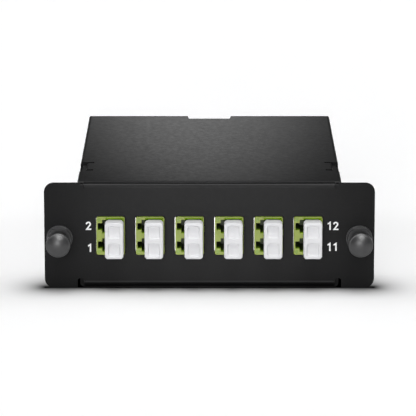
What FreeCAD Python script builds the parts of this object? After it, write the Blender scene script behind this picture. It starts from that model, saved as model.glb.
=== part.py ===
"""Fibre cassette: a folded steel box with a wide front panel, twelve front ports and one rear port.

The front panel, floor and rear wall are one folded sheet, with the side walls turned up from the
floor. A second sheet closes the top. Six two-port adapters stand in the panel, each shut by a
two-prong cap. A push-pull plunger in a split grommet holds each end of the panel to a rack frame.
Inside, a twelve-fibre plug at the rear feeds a bundle that fans out to twelve small plugs.

Frame, in millimetres: X to the right, Y to the back, Z up. The origin is the middle of the back
face of the panel, which is the plane that seats on the rack frame.
"""
import FreeCAD, Part
import math
import os
import re
import Sketcher

Vector = FreeCAD.Vector

SIZES = [
    # folded chassis
    ("panel_width", 109.0), ("panel_height", 35.5), ("panel_corner", 3.1),
    ("chassis_sheet", 1.2), ("ear_width", 10.85), ("box_depth", 110.0),
    ("floor_bend", 2.2), ("lip_bend", 1.5), ("lip_reach", 0.9), ("lip_slit", 0.15),
    ("wall_bend", 1.35), ("relief_rise", 1.1), ("relief_corner", 0.99),
    ("wall_top_drop", 4.0),
    # lid
    ("lid_sheet", 0.8), ("lid_bend", 1.0), ("lid_side_gap", 0.05), ("lid_front_gap", 0.6),
    ("lid_side_flange", 10.0), ("lid_front_flange", 4.0), ("lid_rear_flange", 7.0),
    ("notch_width", 14.8), ("notch_flare", 0.5), ("notch_depth", 5.4), ("notch_round", 0.4),
    ("hook_centre", 24.5), ("hook_length", 9.6), ("hook_slot", 1.7), ("hook_slot_reach", 2.5),
    ("hook_gap", 0.1), ("hook_drop", 6.0), ("window_drop", 1.8),
    ("lid_screw_spread", 60.0), ("lid_screw_radius", 1.25), ("lid_screw_length", 5.0),
    ("screw_gap", 0.05),
    # two-port adapters
    ("adapter_count", 6), ("row_margin", 4.32), ("adapter_width", 9.36),
    ("adapter_height", 12.84), ("adapter_length", 26.0), ("adapter_corner", 0.65),
    ("adapter_proud", 0.2), ("cutout_gap", 0.25), ("cavity_depth", 11.5),
    ("port_pitch", 6.25), ("port_shift", 1.35), ("port_side", 4.6),
    ("key_wall", 0.47), ("key_slot_height", 2.4), ("key_slot_depth", 1.4),
    ("lead_in", 0.75), ("pin_mark_radius", 0.55), ("pin_mark_inset", 0.95),
    ("pin_mark_depth", 0.15),
    ("holder_side", 2.4), ("holder_reach", 2.3), ("sleeve_radius", 0.8),
    ("sleeve_length", 6.8), ("sleeve_gap", 0.05),
    ("clip_sheet", 0.3), ("clip_length", 8.0), ("clip_start", 3.6), ("wing_width", 6.0),
    ("wing_rise", 1.5),
    # small plugs behind the adapters
    ("plug_side", 4.4), ("plug_length", 15.5), ("plug_web_gap", 0.3), ("plug_nose_radius", 1.75),
    ("plug_nose_depth", 4.0), ("latch_arm_width", 2.0), ("latch_arm_rise", 2.6),
    ("ferrule_radius", 0.625), ("boot_length", 8.5), ("boot_base_radius", 1.9),
    ("boot_tip_radius", 1.1),
    # front caps
    ("cap_width", 6.1), ("cap_height", 12.2), ("cap_corner", 0.65), ("cap_bevel", 0.3),
    ("cap_reach", 7.5), ("cap_head_depth", 4.2), ("cap_prong_side", 4.3),
    ("cap_prong_depth", 4.8), ("cap_prong_tip", 0.5), ("cap_pocket_side", 4.0),
    ("cap_pocket_height", 4.3), ("cap_pocket_pitch", 5.9), ("cap_pocket_depth", 0.8),
    ("cap_pocket_corner", 0.8),
    # latches
    ("latch_inset", 5.0), ("latch_drop", 0.8), ("latch_hole_gap", 0.1),
    ("grommet_flange_radius", 4.35), ("grommet_flange_depth", 0.7), ("grommet_boss_radius", 4.15),
    ("grommet_boss_reach", 2.2), ("grommet_flat_height", 3.37), ("grommet_recess_radius", 3.05),
    ("grommet_recess_depth", 1.4), ("barrel_radius", 3.15), ("barrel_length", 6.0),
    ("barrel_slot", 0.9), ("barrel_slot_start", 1.0), ("barrel_tip", 0.8), ("grommet_bevel", 0.3),
    ("stem_radius", 1.9), ("stem_gap", 0.08),
    ("stem_inside", 2.0), ("pilot_radius", 1.2), ("pilot_inside", 5.4),
    ("pilot_bevel", 0.5), ("head_radius", 4.05), ("head_depth", 3.0), ("head_reach", 11.7),
    ("head_round", 0.45), ("head_dome", 0.15),
    # rear port and its plug
    ("rear_port_width", 12.8), ("rear_port_height", 9.6), ("rear_port_length", 26.0),
    ("rear_flange_width", 22.0), ("rear_flange_depth", 1.8), ("rear_screw_spread", 17.6),
    ("rear_screw_radius", 0.95), ("rear_screw_length", 6.0), ("rear_hole_width", 9.8),
    ("rear_hole_height", 7.6),
    ("rear_web", 2.0), ("rear_window_width", 7.4), ("rear_window_height", 3.4),
    ("rear_flange_corner", 1.5), ("rear_key_width", 2.6), ("rear_key_depth", 0.5),
    ("trunk_plug_gap", 0.1), ("trunk_plug_length", 23.5), ("trunk_nose", 10.8),
    ("trunk_ferrule_width", 6.4), ("trunk_ferrule_height", 2.5), ("trunk_sleeve_width", 12.4),
    ("trunk_sleeve_height", 9.4), ("trunk_sleeve_length", 10.0),
    ("trunk_sleeve_bevel", 1.0), ("trunk_shank_width", 9.2), ("trunk_shank_height", 7.2),
    ("guide_pin_radius", 0.35), ("guide_pin_spread", 4.6), ("guide_pin_reach", 1.6),
    ("trunk_boot_length", 12.0), ("trunk_boot_step", 0.6), ("rear_cap_head", 3.0),
    ("rear_cap_prong", 4.0), ("rear_cap_wall", 1.1), ("rear_cap_bevel", 0.6),
    # fibres
    ("bundle_radius", 1.2), ("bundle_bend", 15.0), ("fibre_radius", 0.45), ("fibre_bend", 5.0),
    ("bundle_height", 2.4), ("block_width", 14.0), ("block_length", 12.0), ("block_height", 3.2),
    ("block_bevel", 0.5),
    ("saddle_wall", 1.2),
    ("fibre_spacing", 1.05),
]

doc = FreeCAD.newDocument("fibre_cassette")
sheet = doc.addObject("Spreadsheet::Sheet", "Sizes")
for row, (alias, value) in enumerate(SIZES, start=1):
    sheet.set("A%d" % row, alias)
    sheet.set("B%d" % row, str(value))
    sheet.setAlias("B%d" % row, alias)
doc.recompute()

NAMES = re.compile(r"\b(%s)\b" % "|".join(alias for alias, value in SIZES))

# Places that several pieces share, written in terms of the sheet.
OVERLAP = "0.01"  # how far a cut passes the face that it meets
PANEL_FRONT = "-chassis_sheet"
PANEL_TOP = "panel_height / 2"
PANEL_BOTTOM = "-panel_height / 2"
BOX_WIDTH = "(panel_width - 2 * ear_width)"
BOX_BACK = "(box_depth - chassis_sheet)"
WALL_OUTER_X = "(%s / 2 - lid_sheet - lid_side_gap)" % BOX_WIDTH
WALL_INNER_X = "(%s - chassis_sheet)" % WALL_OUTER_X
REAR_WALL_OUTER = "(%s - lid_sheet - lid_side_gap)" % BOX_BACK
REAR_WALL_INNER = "(%s - chassis_sheet)" % REAR_WALL_OUTER
BEND_HALF_WIDTH = "(%s - wall_bend)" % WALL_OUTER_X
RELIEF_WIDTH = "(%s / 2 - %s)" % (BOX_WIDTH, BEND_HALF_WIDTH)
LID_FRONT = "(lip_reach + lid_front_gap)"
LATCH_X = "(panel_width / 2 - latch_inset)"
ROW_WIDTH = "(2 * %s - 2 * row_margin)" % WALL_INNER_X
ADAPTER_PITCH = "((%s - adapter_width) / (adapter_count - 1))" % ROW_WIDTH
FLOOR_TOP = "(-panel_height / 2 + chassis_sheet)"
ADAPTER_FRONT = "(-chassis_sheet - adapter_proud)"
ADAPTER_BACK = "(%s + adapter_length)" % ADAPTER_FRONT
HOOK_HALF = "(hook_length / 2 + hook_slot)"
PLUG_FRONT = "(%s - cavity_depth + plug_web_gap)" % ADAPTER_BACK
PLUG_BACK = "(%s + plug_length)" % PLUG_FRONT
REAR_PORT_MIDDLE = "(%s + rear_flange_depth / 2)" % REAR_WALL_OUTER
TRUNK_NOSE_TIP = "(%s - rear_web / 2 - plug_web_gap)" % REAR_PORT_MIDDLE
TRUNK_BACK = "(%s - trunk_plug_length)" % TRUNK_NOSE_TIP
BUNDLE_Z = "(%s + bundle_height)" % FLOOR_TOP
LOOP_SIDE = "(2.25 * bundle_bend)"
LOOP_BACK = "(%s - 2.6 * bundle_radius)" % REAR_WALL_INNER
BLOCK_BACK = "(%s - 1.07 * bundle_bend)" % LOOP_BACK
ADAPTER_MIDDLE = "(%s + adapter_length / 2)" % ADAPTER_FRONT
LID_SCREW_HEIGHT = "(panel_height / 2 - lid_rear_flange / 2 - lid_sheet / 2)"


def number(text):
    """The value in millimetres of an expression in the sheet's names."""
    return float(sheet.evalExpression(str(text)))


def bound(text):
    """The expression as another object of the document writes it."""
    return NAMES.sub(r"Sizes.\1", str(text))


def bind(item, field, text):
    item.setExpression(field, bound(text))


def new_body(label):
    body = doc.addObject("PartDesign::Body", label)
    body.Label = label
    return body


def new_sketch(body, name, plane, offset="0"):
    """An empty sketch on one of the body's own origin planes, moved along that plane's normal."""
    sketch = body.newObject("Sketcher::SketchObject", name)
    support = [item for item in body.Origin.OriginFeatures if item.Role == plane][0]
    sketch.AttachmentSupport = [(support, "")]
    sketch.MapMode = "FlatFace"
    bind(sketch, "AttachmentOffset.Base.z", offset)
    return sketch


def hold(sketch, kind, geometry, point, text):
    """Fix one coordinate of a point of the sketch, counted from the sketch's origin."""
    place = sketch.addConstraint(Sketcher.Constraint(kind, -1, 1, geometry, point, number(text)))
    bind(sketch, "Constraints[%d]" % place, text)


def polygon(sketch, corners):
    """A closed outline of straight lines, each corner held by a pair of expressions."""
    points = [Vector(number(across), number(along), 0) for across, along in corners]
    first = sketch.GeometryCount
    count = len(corners)
    for step in range(count):
        sketch.addGeometry(Part.LineSegment(points[step], points[(step + 1) % count]))
    for step in range(count):
        after = first + (step + 1) % count
        sketch.addConstraint(Sketcher.Constraint("Coincident", first + step, 2, after, 1))
    for step, (across, along) in enumerate(corners):
        hold(sketch, "DistanceX", first + step, 1, across)
        hold(sketch, "DistanceY", first + step, 1, along)


def rectangle(sketch, left, right, low, high):
    polygon(sketch, [(left, low), (right, low), (right, high), (left, high)])


def centred(sketch, width, height, across="0", along="0"):
    rectangle(sketch, "%s - (%s) / 2" % (across, width), "%s + (%s) / 2" % (across, width),
              "%s - (%s) / 2" % (along, height), "%s + (%s) / 2" % (along, height))


def circle(sketch, radius, across="0", along="0"):
    centre = Vector(number(across), number(along), 0)
    index = sketch.addGeometry(Part.Circle(centre, Vector(0, 0, 1), number(radius)))
    hold(sketch, "DistanceX", index, 3, across)
    hold(sketch, "DistanceY", index, 3, along)
    place = sketch.addConstraint(Sketcher.Constraint("Radius", index, number(radius)))
    bind(sketch, "Constraints[%d]" % place, radius)


def pad(body, name, sketch, length, towards_back=False, both_ways=False):
    feature = body.newObject("PartDesign::Pad", name)
    feature.Profile = sketch
    bind(feature, "Length", length)
    feature.SideType = "Symmetric" if both_ways else "One side"
    feature.Reversed = towards_back
    doc.recompute()
    return feature


def pocket(body, name, sketch, length, towards_back=True, both_ways=False):
    """A cut of the sketch. Sketches in XZ_Plane look along +Y, so a cut to the back is reversed."""
    feature = body.newObject("PartDesign::Pocket", name)
    feature.Profile = sketch
    bind(feature, "Length", length)
    feature.SideType = "Symmetric" if both_ways else "One side"
    feature.Reversed = not towards_back
    doc.recompute()
    return feature


def edges_where(feature, test):
    """Names of the feature's edges whose bounding box and length pass the test."""
    return ["Edge%d" % (place + 1) for place, edge in enumerate(feature.Shape.Edges) if test(edge)]


def runs_along(edge, axis):
    """True for a straight edge parallel to the axis."""
    if edge.Curve.TypeId != "Part::GeomLine":
        return False
    return abs(abs(edge.tangentAt(edge.FirstParameter).dot(axis)) - 1) < 1e-6


def near(value, target):
    return abs(value - target) < 1e-3


def round_edges(body, name, feature, radius, test):
    fillet = body.newObject("PartDesign::Fillet", name)
    fillet.Base = (feature, edges_where(feature, test))
    bind(fillet, "Radius", radius)
    doc.recompute()
    return fillet


def bevel_edges(body, name, feature, size, test):
    chamfer = body.newObject("PartDesign::Chamfer", name)
    chamfer.Base = (feature, edges_where(feature, test))
    bind(chamfer, "Size", size)
    doc.recompute()
    return chamfer


def revolve(body, name, sketch):
    """Turn the sketch once round the Y axis, which is the sketch's own vertical axis."""
    feature = body.newObject("PartDesign::Revolution", name)
    feature.Profile = sketch
    feature.ReferenceAxis = (sketch, ["V_Axis"])
    feature.Angle = 360
    doc.recompute()
    return feature


def place(item, across="0", back="0", up="0"):
    bind(item, "Placement.Base.x", across)
    bind(item, "Placement.Base.y", back)
    bind(item, "Placement.Base.z", up)


CORD_SIDES = 6
HEAD_SPREAD, HEAD_RISE = 1.8, 1.1  # radius and height of a screw head, in shank radii
X_AXIS = Vector(1, 0, 0)
Y_AXIS = Vector(0, 1, 0)
Z_AXIS = Vector(0, 0, 1)


def chassis():
    """Panel, floor, side walls and rear wall, folded from one sheet with open corner reliefs."""
    body = new_body("chassis")

    plate = new_sketch(body, "panel_outline", "XZ_Plane")
    centred(plate, "panel_width", "panel_height")
    panel = pad(body, "panel_plate", plate, "chassis_sheet")
    panel = round_edges(body, "panel_corners", panel, "panel_corner",
                        lambda edge: runs_along(edge, Y_AXIS))

    folds = new_sketch(body, "fold_strips", "XZ_Plane")
    rectangle(folds, "-" + BEND_HALF_WIDTH, BEND_HALF_WIDTH,
              PANEL_BOTTOM + " - chassis_sheet", PANEL_BOTTOM + " + floor_bend")
    rectangle(folds, "-" + BEND_HALF_WIDTH, BEND_HALF_WIDTH,
              PANEL_TOP + " - lip_bend", PANEL_TOP + " + chassis_sheet")
    pocket(body, "fold_clearance", folds, "chassis_sheet", towards_back=False)

    for side, sign in (("left", "-"), ("right", "")):
        relief = new_sketch(body, "relief_" + side, "XZ_Plane")
        inner = "%s(%s - %s)" % (sign, BEND_HALF_WIDTH, OVERLAP)
        outer = "%s(%s / 2)" % (sign, BOX_WIDTH)
        low, high = (inner, outer) if sign == "" else (outer, inner)
        rectangle(relief, low, high, PANEL_BOTTOM + " - chassis_sheet",
                  PANEL_BOTTOM + " + floor_bend + relief_rise")
        cut = pocket(body, "relief_cut_" + side, relief, "chassis_sheet", towards_back=False)
        top = number(PANEL_BOTTOM + " + floor_bend + relief_rise")
        round_edges(body, "relief_round_" + side, cut, "relief_corner",
                    lambda edge: runs_along(edge, Y_AXIS) and near(edge.BoundBox.ZMax, top)
                    and (edge.BoundBox.XMax > 0) == (sign == ""))

    slits = new_sketch(body, "lip_slits", "XZ_Plane")
    slit_low, slit_high = PANEL_TOP + " - lip_bend - lip_slit", PANEL_TOP + " + chassis_sheet"
    rectangle(slits, "-%s - lip_slit" % BEND_HALF_WIDTH, "-" + BEND_HALF_WIDTH, slit_low, slit_high)
    rectangle(slits, BEND_HALF_WIDTH, BEND_HALF_WIDTH + " + lip_slit", slit_low, slit_high)
    pocket(body, "lip_slit_cut", slits, "chassis_sheet", towards_back=False)

    strip = new_sketch(body, "folded_strip", "YZ_Plane")
    rear_top = PANEL_TOP + " - lid_sheet"
    polygon(strip, [
        ("lip_reach", PANEL_TOP), (PANEL_FRONT, PANEL_TOP), (PANEL_FRONT, PANEL_BOTTOM),
        (REAR_WALL_OUTER, PANEL_BOTTOM), (REAR_WALL_OUTER, rear_top),
        (REAR_WALL_INNER, rear_top), (REAR_WALL_INNER, FLOOR_TOP), ("0", FLOOR_TOP),
        ("0", PANEL_TOP + " - chassis_sheet"), ("lip_reach", PANEL_TOP + " - chassis_sheet")])
    fold = pad(body, "folded_strip_pad", strip, "2 * " + BEND_HALF_WIDTH, both_ways=True)

    back, front = number(REAR_WALL_OUTER), number(PANEL_FRONT)
    bottom, top = number(PANEL_BOTTOM), number(PANEL_TOP)
    strip_width = number("2 * " + BEND_HALF_WIDTH)
    fold = round_edges(body, "floor_bends", fold, "floor_bend",
                       lambda edge: runs_along(edge, X_AXIS) and near(edge.Length, strip_width)
                       and near(edge.BoundBox.ZMin, bottom)
                       and (near(edge.BoundBox.YMin, back) or near(edge.BoundBox.YMin, front)))
    fold = round_edges(body, "lip_bend_round", fold, "lip_bend",
                       lambda edge: runs_along(edge, X_AXIS) and near(edge.Length, strip_width)
                       and near(edge.BoundBox.ZMax, top) and near(edge.BoundBox.YMin, front))

    walls = new_sketch(body, "wall_section", "XZ_Plane")
    wall_top = PANEL_TOP + " - lid_sheet"
    polygon(walls, [
        ("-" + WALL_OUTER_X, PANEL_BOTTOM), (WALL_OUTER_X, PANEL_BOTTOM), (WALL_OUTER_X, wall_top),
        (WALL_INNER_X, wall_top), (WALL_INNER_X, FLOOR_TOP), ("-" + WALL_INNER_X, FLOOR_TOP),
        ("-" + WALL_INNER_X, wall_top), ("-" + WALL_OUTER_X, wall_top)])
    wall_length = "%s - floor_bend" % REAR_WALL_OUTER
    trough = pad(body, "side_walls", walls, wall_length, towards_back=True)
    outer, inner, floor = number(WALL_OUTER_X), number(WALL_INNER_X), number(FLOOR_TOP)
    run = number(wall_length)
    trough = round_edges(body, "wall_bends_outer", trough, "wall_bend",
                         lambda edge: runs_along(edge, Y_AXIS) and near(edge.Length, run)
                         and near(edge.BoundBox.ZMin, bottom)
                         and near(abs(edge.BoundBox.XMax), outer))
    trough = round_edges(body, "wall_bends_inner", trough, "wall_bend - chassis_sheet",
                         lambda edge: runs_along(edge, Y_AXIS) and edge.Length > run / 2
                         and near(edge.BoundBox.ZMax, floor)
                         and near(abs(edge.BoundBox.XMax), inner))

    rim = number(wall_top)
    trough = round_edges(body, "wall_top_rounds", trough, "lid_bend - lid_sheet + lid_side_gap",
                         lambda edge: near(edge.BoundBox.ZMin, rim) and edge.Length > strip_width / 2
                         and (near(abs(edge.BoundBox.XMax), outer)
                              and near(abs(edge.BoundBox.XMin), outer)
                              or near(edge.BoundBox.YMin, back)))

    opening = new_sketch(body, "adapter_opening", "XZ_Plane")
    centred(opening, "adapter_width + 2 * cutout_gap", "adapter_height + 2 * cutout_gap",
            "-%s * (adapter_count - 1) / 2" % ADAPTER_PITCH)
    first = pocket(body, "adapter_opening_cut", opening, "chassis_sheet", towards_back=False)
    row = body.newObject("PartDesign::LinearPattern", "adapter_openings")
    row.Originals = [first]
    row.Direction = (opening, ["H_Axis"])
    bind(row, "Length", ADAPTER_PITCH + " * (adapter_count - 1)")
    bind(row, "Occurrences", "adapter_count")
    body.Tip = row
    doc.recompute()
    opening_height = number("adapter_height / 2 + cutout_gap")
    row_end = number(ADAPTER_PITCH + " * adapter_count / 2")
    round_edges(body, "opening_corners", row, "adapter_corner + cutout_gap",
                lambda edge: runs_along(edge, Y_AXIS)
                and near(abs(edge.BoundBox.ZMax), opening_height)
                and abs(edge.BoundBox.XMax) < row_end)

    latch = new_sketch(body, "latch_holes", "XZ_Plane")
    for sign in ("-", ""):
        circle(latch, "barrel_radius + latch_hole_gap", sign + LATCH_X, "-latch_drop")
    pocket(body, "latch_hole_cut", latch, "chassis_sheet", towards_back=False)

    rear = new_sketch(body, "rear_openings", "XZ_Plane", "-" + REAR_WALL_OUTER)
    centred(rear, "rear_port_width + 2 * cutout_gap", "rear_port_height + 2 * cutout_gap")
    for sign in ("-", ""):
        circle(rear, "rear_screw_radius + screw_gap", sign + "rear_screw_spread / 2")
        circle(rear, "lid_screw_radius + screw_gap", sign + "lid_screw_spread / 2",
               LID_SCREW_HEIGHT)
    rectangle(rear, "-notch_width / 2 - notch_flare", "notch_width / 2 + notch_flare",
              rear_top + " - wall_top_drop", rear_top + " + chassis_sheet")
    pocket(body, "rear_cut", rear, "2 * chassis_sheet", towards_back=False)
    return body


def lid():
    """Shallow tray that closes the box, with a rear notch and a bent-down hook on each side."""
    body = new_body("lid")
    middle = "(%s + %s) / 2" % (LID_FRONT, BOX_BACK)
    run = "(%s - %s)" % (BOX_BACK, LID_FRONT)

    outline = new_sketch(body, "outline", "XY_Plane", PANEL_TOP)
    centred(outline, BOX_WIDTH, run, "0", middle)
    tray = pad(body, "outline_pad", outline, "lid_side_flange", towards_back=True)
    hollow = new_sketch(body, "hollow", "XY_Plane", PANEL_TOP + " - lid_sheet")
    centred(hollow, BOX_WIDTH + " - 2 * lid_sheet", run + " - 2 * lid_sheet", "0", middle)
    tray = pocket(body, "hollow_cut", hollow, "lid_side_flange", towards_back=True)
    top = number(PANEL_TOP)
    ceiling = number(PANEL_TOP + " - lid_sheet")
    tray = round_edges(body, "outer_bends", tray, "lid_bend",
                       lambda edge: near(edge.BoundBox.ZMin, top) and near(edge.BoundBox.ZMax, top))
    tray = round_edges(body, "inner_bends", tray, "lid_bend - lid_sheet",
                       lambda edge: near(edge.BoundBox.ZMin, ceiling)
                       and near(edge.BoundBox.ZMax, ceiling))

    ends = new_sketch(body, "end_flange_trim", "YZ_Plane")
    rectangle(ends, LID_FRONT + " - lid_sheet", LID_FRONT + " + lid_bend",
              PANEL_TOP + " - 2 * lid_side_flange", PANEL_TOP + " - lid_front_flange")
    rectangle(ends, BOX_BACK + " - lid_bend", BOX_BACK + " + lid_sheet",
              PANEL_TOP + " - 2 * lid_side_flange", PANEL_TOP + " - lid_rear_flange")
    pocket(body, "end_flange_cut", ends, "panel_width", both_ways=True)

    seats = new_sketch(body, "wall_seats", "XY_Plane", PANEL_TOP + " - lid_sheet")
    for low, high in (("-%s - lid_side_gap" % WALL_OUTER_X, "-%s + hook_gap" % WALL_INNER_X),
                      (WALL_INNER_X + " - hook_gap", WALL_OUTER_X + " + lid_side_gap")):
        rectangle(seats, low, high, LID_FRONT + " - lid_sheet", LID_FRONT + " + lid_bend")
    pocket(body, "wall_seat_cut", seats, "lid_side_flange", towards_back=True)

    notch = new_sketch(body, "rear_notch", "XY_Plane", PANEL_TOP)
    polygon(notch, [("-notch_width / 2 - notch_flare", BOX_BACK + " + " + OVERLAP),
                    ("-notch_width / 2", BOX_BACK + " - notch_depth"),
                    ("notch_width / 2", BOX_BACK + " - notch_depth"),
                    ("notch_width / 2 + notch_flare", BOX_BACK + " + " + OVERLAP)])
    cut = pocket(body, "rear_notch_cut", notch, "2 * lid_rear_flange", towards_back=True)
    inner_end = number(BOX_BACK + " - notch_depth")
    round_edges(body, "notch_corners", cut, "notch_round",
                lambda edge: runs_along(edge, Z_AXIS) and near(edge.BoundBox.YMin, inner_end))

    hook_face = "(%s - hook_gap)" % WALL_INNER_X
    for side, sign in (("left", "-"), ("right", "")):
        window = new_sketch(body, "hook_window_" + side, "XY_Plane", PANEL_TOP)
        corners = [(hook_face, "hook_centre - " + HOOK_HALF),
                   (hook_face + " - hook_slot_reach", "hook_centre - " + HOOK_HALF),
                   (hook_face + " - hook_slot_reach", "hook_centre - hook_length / 2"),
                   (hook_face, "hook_centre - hook_length / 2"),
                   (hook_face, "hook_centre + hook_length / 2"),
                   (hook_face + " - hook_slot_reach", "hook_centre + hook_length / 2"),
                   (hook_face + " - hook_slot_reach", "hook_centre + " + HOOK_HALF),
                   (hook_face, "hook_centre + " + HOOK_HALF),
                   (BOX_WIDTH + " / 2 + ear_width / 4", "hook_centre + " + HOOK_HALF),
                   (BOX_WIDTH + " / 2 + ear_width / 4", "hook_centre - " + HOOK_HALF)]
        polygon(window, [(sign + "(%s)" % across, along) for across, along in corners])
        pocket(body, "hook_window_cut_" + side, window, "window_drop", towards_back=True)

        blade = new_sketch(body, "hook_blade_" + side, "XY_Plane", PANEL_TOP)
        near_edge, far_edge = sign + hook_face, "%s(%s - lid_sheet)" % (sign, hook_face)
        low, high = (far_edge, near_edge) if sign == "" else (near_edge, far_edge)
        rectangle(blade, low, high, "hook_centre - hook_length / 2", "hook_centre + hook_length / 2")
        hook = pad(body, "hook_" + side, blade, "hook_drop", towards_back=True)
        face = number(near_edge)
        length = number("hook_length")
        round_edges(body, "hook_bend_" + side, hook, "lid_sheet * 0.9",
                    lambda edge: runs_along(edge, Y_AXIS) and near(edge.Length, length)
                    and near(edge.BoundBox.ZMax, top) and near(edge.BoundBox.XMax, face))

    holes = new_sketch(body, "screw_holes", "XZ_Plane", "-" + BOX_BACK)
    for sign in ("-", ""):
        circle(holes, "lid_screw_radius + 3 * screw_gap", sign + "lid_screw_spread / 2",
               LID_SCREW_HEIGHT)
    pocket(body, "screw_hole_cut", holes, "2 * lid_sheet", towards_back=False)
    return body


def pan_screws(label, face, spread, height, radius, length):
    """A pair of pan-head screws driven towards the front, heads on the given face."""
    solids = []
    for sign in ("-", ""):
        solids.append(screw("%s%s" % (label, "_left" if sign else "_right"),
                            sign + spread + " / 2", face, height, radius, length))
    return compound(label, solids)


def screw(name, across, face, height, radius, length):
    head = cylinder(name + "_head", "%s * %s" % (HEAD_SPREAD, radius),
                    "%s * %s" % (HEAD_RISE, radius), across, face, height)
    shank = cylinder(name + "_shank", radius, length, across, "%s - (%s)" % (face, length), height)
    return fuse(name, [head, shank])


def adapter(index):
    """Two-port adapter: a block with a keyed cavity at each end of each port and sleeve holders."""
    body = new_body("adapter_%d" % (index + 1))
    half = "adapter_length / 2"
    left = "-adapter_width / 2"

    outline = new_sketch(body, "outline", "XZ_Plane")
    centred(outline, "adapter_width", "adapter_height")
    block = pad(body, "block", outline, "adapter_length", both_ways=True)
    round_edges(body, "block_corners", block, "adapter_corner",
                lambda edge: runs_along(edge, Y_AXIS))

    ports = new_sketch(body, "port_outline", "XZ_Plane", half)
    for sign in ("-", ""):
        middle = sign + "port_pitch / 2"
        step = left + " + key_wall + key_slot_depth"
        right = "port_shift + port_side / 2"
        polygon(ports, [
            (left + " + key_wall", middle + " - key_slot_height / 2"),
            (step, middle + " - key_slot_height / 2"), (step, middle + " - port_side / 2"),
            (right, middle + " - port_side / 2"), (right, middle + " + port_side / 2"),
            (step, middle + " + port_side / 2"), (step, middle + " + key_slot_height / 2"),
            (left + " + key_wall", middle + " + key_slot_height / 2")])
    cavities = pocket(body, "port_cavities", ports, "cavity_depth", towards_back=True)

    mouth_width, mouth_height = "port_side", "port_pitch + port_side"
    mouth = new_sketch(body, "lead_in_mouth", "XZ_Plane", half)
    centred(mouth, mouth_width + " + 2 * lead_in", mouth_height + " + 2 * lead_in", "port_shift")
    throat = new_sketch(body, "lead_in_throat", "XZ_Plane", half + " - lead_in")
    centred(throat, mouth_width, mouth_height, "port_shift")
    funnel = body.newObject("PartDesign::SubtractiveLoft", "lead_in_cut")
    funnel.Profile = mouth
    funnel.Sections = [throat]
    funnel.Ruled = True
    doc.recompute()

    holders = new_sketch(body, "sleeve_holders", "XZ_Plane", half + " - cavity_depth + holder_reach")
    for sign in ("-", ""):
        centred(holders, "holder_side", "holder_side", "port_shift", sign + "port_pitch / 2")
    tubes = pad(body, "sleeve_holder_pads", holders, "holder_reach", towards_back=True)

    both_ends = body.newObject("PartDesign::Mirrored", "rear_end")
    both_ends.Originals = [cavities, funnel, tubes]
    both_ends.MirrorPlane = ([item for item in body.Origin.OriginFeatures
                              if item.Role == "XZ_Plane"][0], [""])
    body.Tip = both_ends
    doc.recompute()

    bores = new_sketch(body, "sleeve_bores", "XZ_Plane")
    for sign in ("-", ""):
        circle(bores, "sleeve_radius + sleeve_gap", "port_shift", sign + "port_pitch / 2")
    pocket(body, "sleeve_bore_cut", bores, "adapter_length", both_ways=True)

    marks = new_sketch(body, "pin_marks", "XZ_Plane", half)
    for sign in ("-", ""):
        circle(marks, "pin_mark_radius", left + " + pin_mark_inset",
               sign + "(adapter_height / 2 - pin_mark_inset)")
    pocket(body, "pin_mark_cut", marks, "pin_mark_depth", towards_back=True)
    place(body, adapter_across(index), ADAPTER_FRONT + " + adapter_length / 2")
    return body


def adapter_clip(index):
    """Spring clip of thin strip round three sides of an adapter, with two wings to the panel."""
    body = new_body("adapter_clip_%d" % (index + 1))
    reach_x, reach_z = "adapter_width / 2", "adapter_height / 2"
    band = new_sketch(body, "band", "XZ_Plane", "-clip_start")
    polygon(band, [
        (reach_x, reach_z), (reach_x, reach_z + " + clip_sheet"),
        ("-%s - clip_sheet" % reach_x, reach_z + " + clip_sheet"),
        ("-%s - clip_sheet" % reach_x, "-%s - clip_sheet" % reach_z),
        (reach_x, "-%s - clip_sheet" % reach_z), (reach_x, "-" + reach_z),
        ("-" + reach_x, "-" + reach_z), ("-" + reach_x, reach_z)])
    pad(body, "band_pad", band, "clip_length", towards_back=True)
    for name, sign in (("upper_wing", ""), ("lower_wing", "-")):
        wing = new_sketch(body, name, "YZ_Plane")
        corners = [("clip_start + clip_sheet", reach_z + " + clip_sheet"),
                   ("clip_start", reach_z),
                   ("0", reach_z + " + wing_rise"),
                   ("0", reach_z + " + wing_rise + clip_sheet * 1.2")]
        polygon(wing, [(along, "%s(%s)" % (sign, up)) for along, up in corners])
        pad(body, name + "_pad", wing, "wing_width", both_ways=True)
    place(body, adapter_across(index))
    return body


def plug(index):
    """Small single plug behind a port: square housing, hollow nose and a flexible latch arm."""
    body = new_body("inner_plug_%d" % (index + 1))
    outline = new_sketch(body, "outline", "XZ_Plane")
    centred(outline, "plug_side", "plug_side")
    housing = pad(body, "housing", outline, "plug_length", towards_back=True)
    bevel_edges(body, "housing_corners", housing, "plug_side * 0.08",
                lambda edge: runs_along(edge, Y_AXIS))
    nose = new_sketch(body, "nose", "XZ_Plane")
    circle(nose, "plug_nose_radius")
    pocket(body, "nose_bore", nose, "plug_nose_depth", towards_back=True)
    arm = new_sketch(body, "latch_arm", "XY_Plane")
    root, crest = "-plug_side / 2", "-plug_side / 2 - latch_arm_rise"
    polygon(arm, [
        (root + " + 0.1", "plug_side * 0.3"), (root, "plug_side * 0.3"), (crest, "plug_length * 0.6"),
        (crest, "plug_length * 0.8"), (crest + " + 0.8", "plug_length * 0.8"),
        (crest + " + 0.8", "plug_length * 0.62"), (root, "plug_length * 0.2"),
        (root + " + 0.1", "plug_length * 0.2")])
    pad(body, "latch_arm_pad", arm, "latch_arm_width", both_ways=True)
    place(body, *port_place(index, PLUG_FRONT))
    return body


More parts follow.
